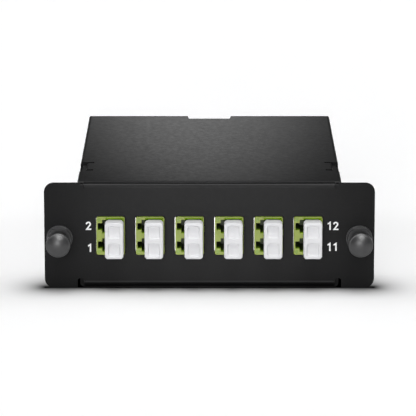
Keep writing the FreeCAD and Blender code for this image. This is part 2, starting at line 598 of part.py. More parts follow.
def cap(index):
    """Two-prong cap: one octagonal head with two finger recesses and a square prong for each port."""
    body = new_body("dust_cap_%d" % (index + 1))
    face = new_sketch(body, "face", "XZ_Plane", "cap_reach")
    centred(face, "cap_width", "cap_height")
    head = pad(body, "head", face, "cap_head_depth", towards_back=True)
    head = bevel_edges(body, "head_corners", head, "cap_corner",
                       lambda edge: runs_along(edge, Y_AXIS))
    front = number("-cap_reach")
    bevel_edges(body, "head_rim", head, "cap_bevel",
                lambda edge: near(edge.BoundBox.YMin, front) and near(edge.BoundBox.YMax, front))

    recesses = new_sketch(body, "recesses", "XZ_Plane", "cap_reach")
    for sign in ("-", ""):
        centred(recesses, "cap_pocket_side", "cap_pocket_height", "0", sign + "cap_pocket_pitch / 2")
    cut = pocket(body, "recess_cut", recesses, "cap_pocket_depth", towards_back=True)
    floor = number("-cap_reach + cap_pocket_depth")
    round_edges(body, "recess_corners", cut, "cap_pocket_corner",
                lambda edge: runs_along(edge, Y_AXIS) and near(edge.BoundBox.YMax, floor))

    prongs = new_sketch(body, "prongs", "XZ_Plane", "cap_reach - cap_head_depth")
    for sign in ("-", ""):
        centred(prongs, "cap_prong_side", "cap_prong_side", "0", sign + "port_pitch / 2")
    tips = pad(body, "prong_pads", prongs, "cap_reach - cap_head_depth + cap_prong_depth",
               towards_back=True)
    end = number("cap_prong_depth")
    bevel_edges(body, "prong_tips", tips, "cap_prong_tip",
                lambda edge: near(edge.BoundBox.YMin, end) and near(edge.BoundBox.YMax, end))
    place(body, adapter_across(index) + " + port_shift", ADAPTER_FRONT)
    return body


def grommet(label, sign):
    """Round collar on the panel with a four-legged barrel that stands out behind it."""
    body = new_body(label)
    profile = new_sketch(body, "profile", "XY_Plane")
    bore = "stem_radius + stem_gap"
    boss_front = "(-chassis_sheet - grommet_boss_reach)"
    polygon(profile, [
        (bore, boss_front + " + grommet_recess_depth"),
        ("grommet_recess_radius", boss_front + " + grommet_recess_depth"),
        ("grommet_recess_radius", boss_front),
        ("grommet_boss_radius - grommet_bevel", boss_front),
        ("grommet_boss_radius", boss_front + " + grommet_bevel"),
        ("grommet_boss_radius", "-chassis_sheet - grommet_flange_depth"),
        ("grommet_flange_radius", "-chassis_sheet - grommet_flange_depth"),
        ("grommet_flange_radius", "-chassis_sheet"), ("barrel_radius", "-chassis_sheet"),
        ("barrel_radius", "barrel_length - barrel_tip"),
        ("barrel_radius - barrel_tip / 2", "barrel_length"),
        (bore, "barrel_length")])
    revolve(body, "collar", profile)

    flat = new_sketch(body, "flat", "XZ_Plane", "chassis_sheet + grommet_flange_depth")
    rectangle(flat, "-2 * grommet_boss_radius", "2 * grommet_boss_radius", "grommet_flat_height",
              "2 * grommet_boss_radius")
    pocket(body, "flat_cut", flat, "2 * grommet_boss_reach", towards_back=False)
    slots = new_sketch(body, "leg_slots", "XZ_Plane", "-barrel_slot_start")
    centred(slots, "barrel_slot", "4 * barrel_radius")
    pocket(body, "upright_slot", slots, "barrel_length", towards_back=True)
    cross = new_sketch(body, "cross_slots", "XZ_Plane", "-barrel_slot_start")
    centred(cross, "4 * barrel_radius", "barrel_slot")
    pocket(body, "level_slot", cross, "barrel_length", towards_back=True)
    place(body, sign + LATCH_X, "0", "-latch_drop")
    return body


def plunger(label, sign):
    """Push-pull pin, pulled out as it stands before the cassette is locked in its frame."""
    body = new_body(label)
    profile = new_sketch(body, "profile", "XY_Plane")
    face, rim = "(-chassis_sheet - head_reach)", "(-chassis_sheet - head_reach + head_dome)"
    polygon(profile, [
        ("0", face), ("head_radius * 0.5", face + " + head_dome * 0.3"),
        ("head_radius - head_round", rim), ("head_radius", rim + " + head_round"),
        ("head_radius", face + " + head_depth - head_round"),
        ("head_radius - head_round", face + " + head_depth"),
        ("stem_radius", face + " + head_depth"),
        ("stem_radius", "stem_inside - pilot_bevel"), ("pilot_radius", "stem_inside"),
        ("pilot_radius", "pilot_inside - pilot_bevel"),
        ("pilot_radius - pilot_bevel", "pilot_inside"),
        ("0", "pilot_inside")])
    revolve(body, "pin", profile)
    place(body, sign + LATCH_X, "0", "-latch_drop")
    return body


def rear_adapter():
    """Flanged adapter for the multi-fibre plug: open at both ends, with a windowed web between."""
    body = new_body("rear_adapter")
    outline = new_sketch(body, "outline", "XZ_Plane")
    centred(outline, "rear_port_width", "rear_port_height")
    pad(body, "block", outline, "rear_port_length", both_ways=True)
    flange = new_sketch(body, "flange", "XZ_Plane")
    centred(flange, "rear_flange_width", "rear_port_height")
    ears = pad(body, "flange_pad", flange, "rear_flange_depth", both_ways=True)
    half = number("rear_flange_width / 2")
    round_edges(body, "flange_corners", ears, "rear_flange_corner",
                lambda edge: runs_along(edge, Y_AXIS) and near(abs(edge.BoundBox.XMax), half))
    holes = new_sketch(body, "flange_holes", "XZ_Plane")
    for sign in ("-", ""):
        circle(holes, "rear_screw_radius + 3 * screw_gap", sign + "rear_screw_spread / 2")
    pocket(body, "flange_hole_cut", holes, "2 * rear_flange_depth", both_ways=True)
    for name, offset, towards_back in (("front_cavity", "rear_port_length / 2", True),
                                       ("rear_cavity", "-rear_port_length / 2", False)):
        hole = new_sketch(body, name, "XZ_Plane", offset)
        centred(hole, "rear_hole_width", "rear_hole_height")
        pocket(body, name + "_cut", hole, "(rear_port_length - rear_web) / 2",
               towards_back=towards_back)
    window = new_sketch(body, "window", "XZ_Plane")
    centred(window, "rear_window_width", "rear_window_height")
    pocket(body, "window_cut", window, "2 * rear_web", both_ways=True)
    key = new_sketch(body, "keyway", "XZ_Plane", "-rear_port_length / 2")
    rectangle(key, "-rear_key_width / 2", "rear_key_width / 2",
              "rear_hole_height / 2 - " + OVERLAP, "rear_hole_height / 2 + rear_key_depth")
    pocket(body, "keyway_cut", key, "(rear_port_length - rear_web) / 2", towards_back=False)
    place(body, "0", REAR_PORT_MIDDLE)
    return body


def rear_cap():
    """Cap of the rear port: a flat head and one hollow prong."""
    body = new_body("rear_dust_cap")
    face = new_sketch(body, "head_face", "XZ_Plane")
    centred(face, "rear_port_width", "rear_port_height")
    head = pad(body, "head", face, "rear_cap_head", towards_back=True)
    end = number("rear_cap_head")
    bevel_edges(body, "head_rim", head, "rear_cap_bevel", lambda edge: near(edge.BoundBox.YMin, end))
    prong = new_sketch(body, "prong", "XZ_Plane")
    centred(prong, "rear_hole_width - 2 * trunk_plug_gap", "rear_hole_height - 2 * trunk_plug_gap")
    pad(body, "prong_pad", prong, "rear_cap_prong")
    hollow = new_sketch(body, "hollow", "XZ_Plane", "rear_cap_prong")
    wall = "2 * (trunk_plug_gap + rear_cap_wall)"
    centred(hollow, "rear_hole_width - " + wall, "rear_hole_height - " + wall)
    pocket(body, "hollow_cut", hollow, "rear_cap_prong", towards_back=True)
    place(body, "0", REAR_PORT_MIDDLE + " + rear_port_length / 2")
    return body


def trunk_plug():
    """Housing of the multi-fibre plug, from its nose in the rear adapter to its boot."""
    body = new_body("trunk_plug")
    nose = new_sketch(body, "nose", "XZ_Plane")
    centred(nose, "rear_hole_width - 2 * trunk_plug_gap", "rear_hole_height - 2 * trunk_plug_gap")
    pad(body, "nose_pad", nose, "trunk_nose")
    shank = new_sketch(body, "shank", "XZ_Plane")
    centred(shank, "trunk_shank_width", "trunk_shank_height")
    pad(body, "shank_pad", shank, "trunk_plug_length")
    bore = new_sketch(body, "ferrule_seat", "XZ_Plane")
    centred(bore, "trunk_ferrule_width + 2 * sleeve_gap",
            "trunk_ferrule_height + 2 * sleeve_gap")
    pocket(body, "ferrule_seat_cut", bore, "trunk_nose / 2", towards_back=False)
    place(body, "0", TRUNK_NOSE_TIP)
    return body


def trunk_ferrule():
    """Rectangular ferrule for twelve fibres, with its two guide pins."""
    body = new_body("trunk_ferrule")
    face = new_sketch(body, "face", "XZ_Plane")
    centred(face, "trunk_ferrule_width", "trunk_ferrule_height")
    pad(body, "block", face, "trunk_nose / 2 + rear_web / 2 + plug_web_gap")
    pins = new_sketch(body, "guide_pins", "XZ_Plane")
    for sign in ("-", ""):
        circle(pins, "guide_pin_radius", sign + "guide_pin_spread / 2")
    pad(body, "guide_pin_pads", pins, "guide_pin_reach", towards_back=True)
    place(body, "0", REAR_PORT_MIDDLE)
    return body


def trunk_sleeve():
    """Coupling sleeve that slides back along the multi-fibre plug to unlatch it."""
    body = new_body("trunk_sleeve")
    outline = new_sketch(body, "outline", "XZ_Plane")
    centred(outline, "trunk_sleeve_width", "trunk_sleeve_height")
    shell = pad(body, "shell", outline, "trunk_sleeve_length")
    bevel_edges(body, "shell_corners", shell, "trunk_sleeve_bevel", lambda edge: runs_along(edge, Y_AXIS))
    hole = new_sketch(body, "hole", "XZ_Plane")
    centred(hole, "trunk_shank_width + 2 * trunk_plug_gap",
            "trunk_shank_height + 2 * trunk_plug_gap")
    pocket(body, "hole_cut", hole, "trunk_sleeve_length", towards_back=False)
    place(body, "0", REAR_PORT_MIDDLE + " - rear_port_length / 2 - plug_web_gap")
    return body


def trunk_boot():
    """Tapered strain relief at the tail of the multi-fibre plug."""
    body = new_body("trunk_boot")
    base = new_sketch(body, "base", "XZ_Plane")
    centred(base, "trunk_shank_width - trunk_boot_step", "trunk_shank_height - trunk_boot_step")
    tail = new_sketch(body, "tail", "XZ_Plane", "trunk_boot_length")
    centred(tail, "4 * bundle_radius", "4 * bundle_radius")
    loft = body.newObject("PartDesign::AdditiveLoft", "taper")
    loft.Profile = base
    loft.Sections = [tail]
    loft.Ruled = True
    doc.recompute()
    place(body, "0", TRUNK_BACK)
    return body


def fan_out_block():
    """Moulded block in which the bundle splits into twelve single fibres."""
    body = new_body("fan_out_block")
    outline = new_sketch(body, "outline", "XZ_Plane")
    centred(outline, "block_width", "block_height")
    block = pad(body, "block", outline, "block_length")
    bevel_edges(body, "block_corners", block, "block_bevel", lambda edge: runs_along(edge, Y_AXIS))
    place(body, "0", BLOCK_BACK, BUNDLE_Z)
    return body


def fan_out_clip():
    """Stuck-down saddle that holds the fan-out block by its sides."""
    body = new_body("fan_out_clip")
    inner, outer = "block_width / 2", "(block_width / 2 + saddle_wall)"
    seat = "-block_height / 2"
    section = new_sketch(body, "section", "XZ_Plane")
    polygon(section, [
        ("-" + outer, "-bundle_height"), (outer, "-bundle_height"),
        (outer, "block_height / 2"), (inner, "block_height / 2"), (inner, seat),
        ("-" + inner, seat), ("-" + inner, "block_height / 2"), ("-" + outer, "block_height / 2")])
    pad(body, "saddle", section, "block_length / 2")
    place(body, "0", BLOCK_BACK + " - block_length / 4", BUNDLE_Z)
    return body


def bundle_clip():
    """Stuck-down clip with an open throat that holds the bundle where it crosses the box."""
    body = new_body("bundle_clip")
    section = new_sketch(body, "section", "YZ_Plane")
    rectangle(section, "-2 * bundle_radius", "2 * bundle_radius", "-bundle_height",
              "bundle_radius * 1.5")
    pad(body, "foot", section, "bundle_radius * 3", both_ways=True)
    throat = new_sketch(body, "throat", "YZ_Plane")
    circle(throat, "bundle_radius * 1.15")
    pocket(body, "throat_cut", throat, "bundle_radius * 4", both_ways=True)
    mouth = new_sketch(body, "mouth", "YZ_Plane")
    rectangle(mouth, "-bundle_radius * 0.7", "bundle_radius * 0.7", "0", "bundle_radius * 2")
    pocket(body, "mouth_cut", mouth, "bundle_radius * 4", both_ways=True)
    place(body, "-%s / 2" % LOOP_SIDE, LOOP_BACK, BUNDLE_Z)
    return body


def tube(points, bend, radius):
    """A solid round cord: straight runs, with a tangent arc in place of each corner."""
    heading = (points[1] - points[0]).normalize()
    start = points[0]
    pieces = []
    for corner, after in zip(points[1:], points[2:]):
        outgoing = (after - corner).normalize()
        turn = math.acos(max(-1.0, min(1.0, heading.dot(outgoing))))
        reach = bend * math.tan(turn / 2)
        arc_start = corner - heading * reach
        pieces.append(disc(start, heading, radius).extrude(arc_start - start))
        inward = (outgoing - heading * heading.dot(outgoing)).normalize()
        pieces.append(disc(arc_start, heading, radius).revolve(
            arc_start + inward * bend, heading.cross(inward), math.degrees(turn)))
        start, heading = corner + outgoing * reach, outgoing
    pieces.append(disc(start, heading, radius).extrude(points[-1] - start))
    return pieces[0].multiFuse(pieces[1:])


def disc(centre, heading, radius):
    """A many-sided face square to the heading, with the area of a circle of the radius."""
    upright = heading.cross(X_AXIS) if abs(heading.x) < 0.9 else heading.cross(Z_AXIS)
    upright = upright.normalize()
    level = heading.cross(upright)
    step = 2 * math.pi / CORD_SIDES
    corner_radius = radius * math.sqrt(step / math.sin(step))
    corners = [centre + (upright * math.cos(step * turn) + level * math.sin(step * turn))
               * corner_radius for turn in range(CORD_SIDES + 1)]
    return Part.Face(Part.makePolygon(corners))


def cord(label, tubes):
    item = doc.addObject("Part::Feature", label)
    item.Shape = tubes[0] if len(tubes) == 1 else Part.makeCompound(tubes)
    return item


def fibre_bundle():
    """The bundle rises from the boot, turns left, drops to the floor and enters the block.

    Its first turn passes high over the small plugs, so it stays clear of their fibres.
    """
    low, side, back = number(BUNDLE_Z), number(LOOP_SIDE), number(LOOP_BACK)
    bend = number("bundle_bend")
    tail = number(TRUNK_BACK + " - trunk_boot_length")
    crest = 0.6 * bend
    turn = tail - 1.5 * bend
    points = [Vector(0, tail, 0), Vector(0, tail - bend / 3, 0), Vector(0, turn, crest),
              Vector(-side, turn, crest), Vector(-side, back - 1.45 * bend, low),
              Vector(-side, back, low), Vector(0, back, low), Vector(0, number(BLOCK_BACK), low)]
    return cord("fibre_bundle", [tube(points, bend, number("bundle_radius"))])


def fibre_pair(index):
    """The two fibres of one adapter, from the fan-out block to the boots of its two plugs.

    Outer pairs turn away first, so that no pair crosses another.
    """
    low, spacing = number(BUNDLE_Z), number("fibre_spacing")
    bend, radius = number("fibre_bend"), number("fibre_radius")
    start = number(BLOCK_BACK + " - block_length")
    end = number(PLUG_BACK + " + boot_length")
    run = start - end
    from_middle = index - (number("adapter_count") - 1) / 2
    from_edge = min(index, number("adapter_count") - 1 - index)
    across = number(adapter_across(index) + " + port_shift")
    turn = start - 0.12 * run - 0.052 * run * from_edge
    tubes = []
    for sign in (-1, 1):
        row = low + sign * 1.3 * radius
        port = sign * number("port_pitch") / 2
        leave = 2 * spacing * from_middle
        points = [Vector(leave, start, row), Vector(leave, turn, row),
                  Vector(across + 1.3 * sign * radius, end + 0.52 * run, row),
                  Vector(across, end + 0.9 * bend, port), Vector(across, end, port)]
        tubes.append(tube(points, bend, radius))
    return cord("fibre_pair_%d" % (index + 1), tubes)


def cylinder(name, radius, length, across, back, up):
    """A Part cylinder whose axis runs to the back."""
    item = doc.addObject("Part::Cylinder", name)
    bind(item, "Radius", radius)
    bind(item, "Height", length)
    item.Placement.Rotation = FreeCAD.Rotation(X_AXIS, -90)
    place(item, across, back, up)
    return item


def fuse(name, parts):
    item = doc.addObject("Part::MultiFuse", name)
    item.Shapes = parts
    return item


def compound(label, parts):
    item = doc.addObject("Part::Compound", label)
    item.Label = label
    item.Links = parts
    return item


def sleeves():
    """Ceramic alignment sleeves, one loose in the middle of each port."""
    tubes = []
    for index in range(port_count()):
        across, back, up = port_place(index, "%s - sleeve_length / 2" % ADAPTER_MIDDLE)
        outer = cylinder("sleeve_outer_%d" % (index + 1), "sleeve_radius", "sleeve_length",
                         across, back, up)
        inner = cylinder("sleeve_inner_%d" % (index + 1), "ferrule_radius + sleeve_gap / 5",
                         "sleeve_length", across, back, up)
        tube_cut = doc.addObject("Part::Cut", "sleeve_%d" % (index + 1))
        tube_cut.Base = outer
        tube_cut.Tool = inner
        tubes.append(tube_cut)
    return compound("alignment_sleeves", tubes)


def ferrules():
    """Round ferrules of the small plugs, from the nose of each plug to the middle of its sleeve."""
    pins = []
    for index in range(port_count()):
        across, back, up = port_place(index, ADAPTER_MIDDLE)
        length = "%s + plug_nose_depth - %s" % (PLUG_FRONT, ADAPTER_MIDDLE)
        pins.append(cylinder("ferrule_%d" % (index + 1), "ferrule_radius", length, across, back, up))
    return compound("plug_ferrules", pins)


def boots():
    """Square tapered boots at the tails of the small plugs."""
    tapers = []
    for index in range(port_count()):
        taper = doc.addObject("Part::Wedge", "boot_%d" % (index + 1))
        for axis in ("X", "Z"):
            bind(taper, axis + "min", "-boot_base_radius")
            bind(taper, axis + "max", "boot_base_radius")
            bind(taper, axis + "2min", "-boot_tip_radius")
            bind(taper, axis + "2max", "boot_tip_radius")
        bind(taper, "Ymin", "0")
        bind(taper, "Ymax", "boot_length")
        place(taper, *port_place(index, PLUG_BACK))
        tapers.append(taper)
    return compound("plug_boots", tapers)


def adapter_across(index):
    """Where the middle of an adapter lies along X."""
    return "(%s * (%d - (adapter_count - 1) / 2))" % (ADAPTER_PITCH, index)


def port_count():
    return 2 * int(number("adapter_count"))


def port_place(index, back):
    """The axis of a port at a given depth. Even ports are the lower ones."""
    sign = "-" if index % 2 == 0 else ""
    return adapter_across(index // 2) + " + port_shift", back, sign + "port_pitch / 2"


def save(nodes):
    """Test every object of the document, then write one STEP file for each node."""
    doc.recompute()
    broken = [item.Label for item in doc.Objects
              if "Invalid" in item.State or "Error" in item.State]
    if broken:
        raise RuntimeError("did not build: " + ", ".join(broken))
    os.makedirs("parts", exist_ok=True)
    for node in nodes:
        if node.Shape.isNull() or not node.Shape.isValid():
            raise RuntimeError("%s has no valid shape" % node.Label)
        node.Shape.exportStep("parts/%s.step" % node.Label)
        print(node.Label, len(node.Shape.Solids), round(node.Shape.Volume, 2))


def build():
    adapters = range(int(number("adapter_count")))
    nodes = [chassis(), lid(),
             pan_screws("lid_screws", BOX_BACK, "lid_screw_spread", LID_SCREW_HEIGHT,
                        "lid_screw_radius", "lid_screw_length"),
             rear_adapter(),
             pan_screws("rear_adapter_screws", "%s + rear_flange_depth" % REAR_WALL_OUTER,
                        "rear_screw_spread", "0", "rear_screw_radius", "rear_screw_length"),
             rear_cap(), trunk_plug(), trunk_ferrule(), trunk_sleeve(), trunk_boot(),
             fibre_bundle(), bundle_clip(), fan_out_block(), fan_out_clip(),
             sleeves(), ferrules(), boots(),
             grommet("grommet_left", "-"), grommet("grommet_right", ""),
             plunger("plunger_left", "-"), plunger("plunger_right", "")]
    for index in adapters:
        nodes += [adapter(index), adapter_clip(index), cap(index), fibre_pair(index)]
    for index in range(port_count()):
        nodes.append(plug(index))
    save(nodes)


build()
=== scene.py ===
# %% [markdown]
# # Fibre cassette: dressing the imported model
#
# The part is a folded steel box with a wide front panel. Six green adapters stand in the panel, each
# shut by a white two-prong cap, and a plunger latch stands at each end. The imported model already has
# every solid in its place. This lesson gives each one its finish, adds the printed port numbers and
# the small turned and moulded forms that a solid modeller leaves plain, and sets up a studio.
#
# Everything is in metres, in the model's own frame: X to the right, Y to the back, Z up, with the
# origin in the middle of the back face of the panel.

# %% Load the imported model
import math

import bmesh
import bpy
import numpy as np
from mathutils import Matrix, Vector


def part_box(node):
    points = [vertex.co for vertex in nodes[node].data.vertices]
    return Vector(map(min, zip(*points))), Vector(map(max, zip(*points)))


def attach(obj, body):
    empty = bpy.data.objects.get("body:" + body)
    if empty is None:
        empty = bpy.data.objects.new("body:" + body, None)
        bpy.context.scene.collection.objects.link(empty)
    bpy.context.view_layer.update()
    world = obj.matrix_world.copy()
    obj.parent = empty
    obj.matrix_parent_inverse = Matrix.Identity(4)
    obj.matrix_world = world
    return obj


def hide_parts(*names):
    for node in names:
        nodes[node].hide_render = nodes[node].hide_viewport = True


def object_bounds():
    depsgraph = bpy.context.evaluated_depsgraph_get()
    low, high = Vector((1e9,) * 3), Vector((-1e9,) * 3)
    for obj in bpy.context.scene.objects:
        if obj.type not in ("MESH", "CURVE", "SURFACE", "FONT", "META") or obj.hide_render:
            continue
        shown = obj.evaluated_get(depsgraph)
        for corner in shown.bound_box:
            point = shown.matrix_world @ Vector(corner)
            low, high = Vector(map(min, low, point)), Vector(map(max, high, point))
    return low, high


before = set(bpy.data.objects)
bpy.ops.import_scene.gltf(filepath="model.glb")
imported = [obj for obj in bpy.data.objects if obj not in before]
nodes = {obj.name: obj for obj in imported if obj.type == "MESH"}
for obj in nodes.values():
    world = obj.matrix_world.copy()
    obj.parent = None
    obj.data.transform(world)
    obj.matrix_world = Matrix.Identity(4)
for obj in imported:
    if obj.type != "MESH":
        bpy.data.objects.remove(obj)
MM = 0.001


def corners(box):
    """A box as two plain lists, lowest corner and highest corner."""
    return [[float(value) for value in corner] for corner in box]


cad_box = corners(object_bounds())


def node_box(name):
    """A node's lowest and highest corner as arrays, in millimetres."""
    low, high = (np.array(corner) / MM for corner in corners(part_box(name)))
    return low, high


print("CAD box in mm", np.round(np.array(cad_box) / MM, 2).tolist())

# %% [markdown]
# ## Shader maths as expressions
#
# A procedural finish is arithmetic on numbers that change over the surface. Wiring Math nodes by hand
# hides that arithmetic, so one small class wraps a socket and overloads the operators: `1 - mask * 2`
# builds its nodes by itself. Numbers that are the same everywhere are worked out in Python and go
# straight into a socket, which is also what the exporter needs.

# %% A socket that can be added and multiplied
class Wire:
    """One output socket. Arithmetic on it adds Math nodes to the same tree."""

    def __init__(self, tree, socket):
        self.tree = tree
        self.socket = socket

    def node(self, kind, settings=None, output=0, **inputs):
        """Add a node of a type, apply its settings, then feed its sockets by name or number."""
        return add_node(self.tree, kind, settings, output, **inputs)

    def math(self, operation, *values):
        item = self.tree.nodes.new("ShaderNodeMath")
        item.operation = operation
        for place, value in enumerate(values):
            feed(self.tree, item.inputs[place], value)
        return Wire(self.tree, item.outputs[0])

    def __add__(self, other):
        return self.math("ADD", self, other)

    def __radd__(self, other):
        return self.math("ADD", other, self)

    def __sub__(self, other):
        return self.math("SUBTRACT", self, other)

    def __rsub__(self, other):
        return self.math("SUBTRACT", other, self)

    def __mul__(self, other):
        return self.math("MULTIPLY", self, other)

    def __rmul__(self, other):
        return self.math("MULTIPLY", other, self)

    def __pow__(self, power):
        return self.math("POWER", self, power)

    def between(self, low, high):
        """0 below low, 1 above high and a smooth ramp between them."""
        return self.node("ShaderNodeMapRange", {"interpolation_type": "SMOOTHSTEP"},
                         Value=self, **{"From Min": low, "From Max": high})


def feed(tree, socket, value):
    """Link a wire to the socket, or write a plain value on it."""
    if isinstance(value, Wire):
        tree.links.new(value.socket, socket)
    else:
        socket.default_value = value


def add_node(tree, kind, settings=None, output=0, **inputs):
    """One node: its type, then its settings, then what its sockets are given."""
    item = tree.nodes.new(kind)
    for name, value in (settings or {}).items():
        setattr(item, name, value)
    for name, value in inputs.items():
        feed(tree, item.inputs[name], value)
    return Wire(tree, item.outputs[output])


print("shader helpers ready")

# %% [markdown]
# ## One shape for all finishes
#
# Nearly every finish here is a Principled shader whose colour, roughness and bump vary a little. The
# helper below makes the material and hands back the tree, the object coordinates in millimetres and
# the shader, so that each finish only has to say what is special about it. Coordinates in
# millimetres let the sizes of grains and scratches be written as they are on the real thing.

# %% Start a material
def new_finish(name, **constants):
    """A material with a Principled shader. The constants are written on the shader's sockets."""
    material = bpy.data.materials.new(name)
    material.use_nodes = True
    tree = material.node_tree
    tree.nodes.clear()
    shader = tree.nodes.new("ShaderNodeBsdfPrincipled")
    for socket, value in constants.items():
        shader.inputs[socket.replace("_", " ")].default_value = value
    out = tree.nodes.new("ShaderNodeOutputMaterial")
    tree.links.new(shader.outputs[0], out.inputs["Surface"])
    coordinates = add_node(tree, "ShaderNodeTexCoord", output=3)
    millimetres = add_node(tree, "ShaderNodeVectorMath", {"operation": "SCALE"},
                           Vector=coordinates, Scale=1 / MM)
    return material, tree, shader, millimetres


def noise(tree, where, size, detail=2.0, roughness=0.5, stretch=(1, 1, 1)):
    """Smooth random values of about 0 to 1 whose lumps are the given size in millimetres."""
    spread = add_node(tree, "ShaderNodeMapping", Vector=where,
                      Scale=tuple(1 / (size * factor) for factor in stretch))
    return add_node(tree, "ShaderNodeTexNoise", Vector=spread, Scale=1.0, Detail=detail,
                    Roughness=roughness)


def blend_colours(tree, factor, low, high):
    """Colour low where the factor is 0 and colour high where it is 1."""
    item = tree.nodes.new("ShaderNodeMix")
    item.data_type = "RGBA"
    feed(tree, item.inputs[0], factor)
    feed(tree, item.inputs[6], low if isinstance(low, Wire) else (*low, 1))
    feed(tree, item.inputs[7], high if isinstance(high, Wire) else (*high, 1))
    return Wire(tree, item.outputs[2])


def bump(tree, shader, height, depth, strength=1.0):
    """Turn a height of 0 to 1 into a bump of the given depth in millimetres."""
    made = add_node(tree, "ShaderNodeBump", Height=height, Distance=depth * MM, Strength=strength)
    tree.links.new(made.socket, shader.inputs["Normal"])


print("finish helpers ready")

# %% [markdown]
# ## Black powder coat
#
# The steel is coated with a black textured powder. Melted powder dries into tiny domes a third of a
# millimetre apart, which break up reflections into a soft sheen, and a scatter of finer grains
# catches the light; those grains are painted a lighter colour, as painted glints. Two noises do this:
# a fine one for the grain and a slower one for the orange peel. A painted picture could look the same
# from the front, but would stretch on the folds.
#
# Along the folded edges the coat is painted paler, as painted highlights of the bends, and in the gaps
# between lid and panel it is painted near black and dull, as painted shade. Both are narrow bands along
# an axis, each with its own colour. On the panel they end where the box ends, because the ears carry no
# fold, and they lie on its front only.

# %% Make the powder coat
GRAIN, PEEL, CLOUD = 0.28, 1.4, 14.0  # sizes of the lumps in millimetres
BAND_SOFTNESS = 0.1
BOX_SIDE = (42.2, 42.8)  # the panel's bands fade out between these distances from the middle
PANEL_FRONT_ONLY = (-0.3, 0.0)  # and from this depth to the panel's back face


def powder_coat(name, colour, glint_grain, rough, bands):
    """A coat with painted glints on its grain, and bands of painted highlight and shade: axis number, low,
    high, on the panel's front only, colour, extra dullness.
    """
    material, tree, shader, where = new_finish(name, IOR=1.45, Specular_IOR_Level=0.15)
    grain = noise(tree, where, GRAIN, detail=3.0, roughness=0.6)
    peel = noise(tree, where, PEEL, detail=2.0)
    cloud = noise(tree, where, CLOUD, detail=3.0)
    # the lighter specks are painted glints of grains that catch the light
    specks = grain.between(0.56, 0.74)
    tone = blend_colours(tree, specks * 0.8 + (cloud - 0.5) * 0.5, colour, glint_grain)
    gloss = rough + (peel - 0.5) * 0.12 + (grain - 0.5) * 0.1
    for axis, low, high, front_only, painted_colour, duller in bands:
        place = add_node(tree, "ShaderNodeSeparateXYZ", output=axis, Vector=where)
        band = (place.between(low - BAND_SOFTNESS, low)
                * (1 - place.between(high, high + BAND_SOFTNESS)))
        if front_only:
            across = add_node(tree, "ShaderNodeSeparateXYZ", Vector=where)
            along = add_node(tree, "ShaderNodeSeparateXYZ", output=1, Vector=where)
            within = 1 - across.math("ABSOLUTE", across).between(*BOX_SIDE)
            band = band * (1 - along.between(*PANEL_FRONT_ONLY)) * within
        tone = blend_colours(tree, band, tone, painted_colour)
        gloss = gloss + band * duller
    feed(tree, shader.inputs["Base Color"], tone)
    feed(tree, shader.inputs["Roughness"], gloss)
    bump(tree, shader, grain * 0.7 + peel * 0.3, 0.03)
    return material


# the second colour is the lighter colour of the painted glints on the grain
COAT, COAT_GLINT = (0.0055, 0.0055, 0.0058), (0.0135, 0.0135, 0.014)
# the paler colour is a painted highlight on folded edges, the near black is painted shade in gaps
PAINTED_HIGHLIGHT, PAINTED_SHADE = (0.026, 0.026, 0.027), (0.001, 0.001, 0.001)
COAT_ROUGHNESS = 0.52
# panel: painted highlight on the top bend, painted shade along the top edge, painted highlight on the bottom
# bend
panel_light_bands = [(2, 17.18, 17.4, True, PAINTED_HIGHLIGHT, 0.0), (2, 17.55, 18.2, True, PAINTED_SHADE, 0.4),
               (2, -15.9, -15.4, True, PAINTED_HIGHLIGHT, 0.0)]
# lid: painted shade in the gap behind the panel, and a painted highlight on the lid's front edge
lid_light_bands = [(1, -1.0, 0.5, False, PAINTED_SHADE, 0.4), (1, 1.3, 2.2, False, PAINTED_HIGHLIGHT, 0.0)]
chassis_coat = powder_coat("black_powder_coat", COAT, COAT_GLINT, COAT_ROUGHNESS, panel_light_bands)
lid_coat = powder_coat("lid_powder_coat", COAT, COAT_GLINT, COAT_ROUGHNESS, lid_light_bands)
print("powder coat ready")

# %% [markdown]
# ## Moulded plastics
#
# The adapters are lime green, the caps white, the latches black nylon. A moulded part has a slightly
# sunken, uneven skin: soft sink marks a few millimetres wide and a fine spark-eroded grain from the
# mould. Only colours, gloss and grain size change between them.
#
# An adapter is seen at its flat front face and down into its ports. The face is painted paler and
# greyer, as a painted reflection of the bright floor in front, and the plastic is painted darker with
# depth, as painted shade, because little light finds its way into a port.

# %% Make the plastics
SINK, SMEAR = 3.5, 1.1  # sizes of the sink marks and of the smears in millimetres
REFLECTION_DEPTH = (-1.36, -1.1)  # the painted reflection on the face ends between these depths
PORT_DEPTH = (-0.9, 2.5)  # over these depths the painted shade in a port falls to its darkest
PORT_PAINTED_SHADE = 0.2


def plastic(name, colour, shade, rough, grain_depth=0.006, grain_size=0.12, face=None, **constants):
    material, tree, shader, where = new_finish(name, **constants)
    grain = noise(tree, where, grain_size, detail=2.0)
    sink = noise(tree, where, SINK, detail=1.0)
    smear = noise(tree, where, SMEAR, detail=3.0, stretch=(1, 1, 3))
    tone = blend_colours(tree, (sink - 0.35) * 0.9 + (smear - 0.5) * 0.35, colour, shade)
    # face is a paler colour painted on the front face, as a painted reflection of the floor
    if face:
        depth = add_node(tree, "ShaderNodeSeparateXYZ", output=1, Vector=where)
        # painted shade: a port's colour darkens with depth, where little light gets in
        shaded_port = blend_colours(tree, depth.between(*PORT_DEPTH), tone,
                             tuple(part * PORT_PAINTED_SHADE for part in colour))
        tone = blend_colours(tree, depth.between(*REFLECTION_DEPTH), face, shaded_port)
    feed(tree, shader.inputs["Base Color"], tone)
    feed(tree, shader.inputs["Roughness"], rough + (smear - 0.5) * 0.14)
    bump(tree, shader, grain * 0.5 + sink * 0.5, grain_depth)
    return material


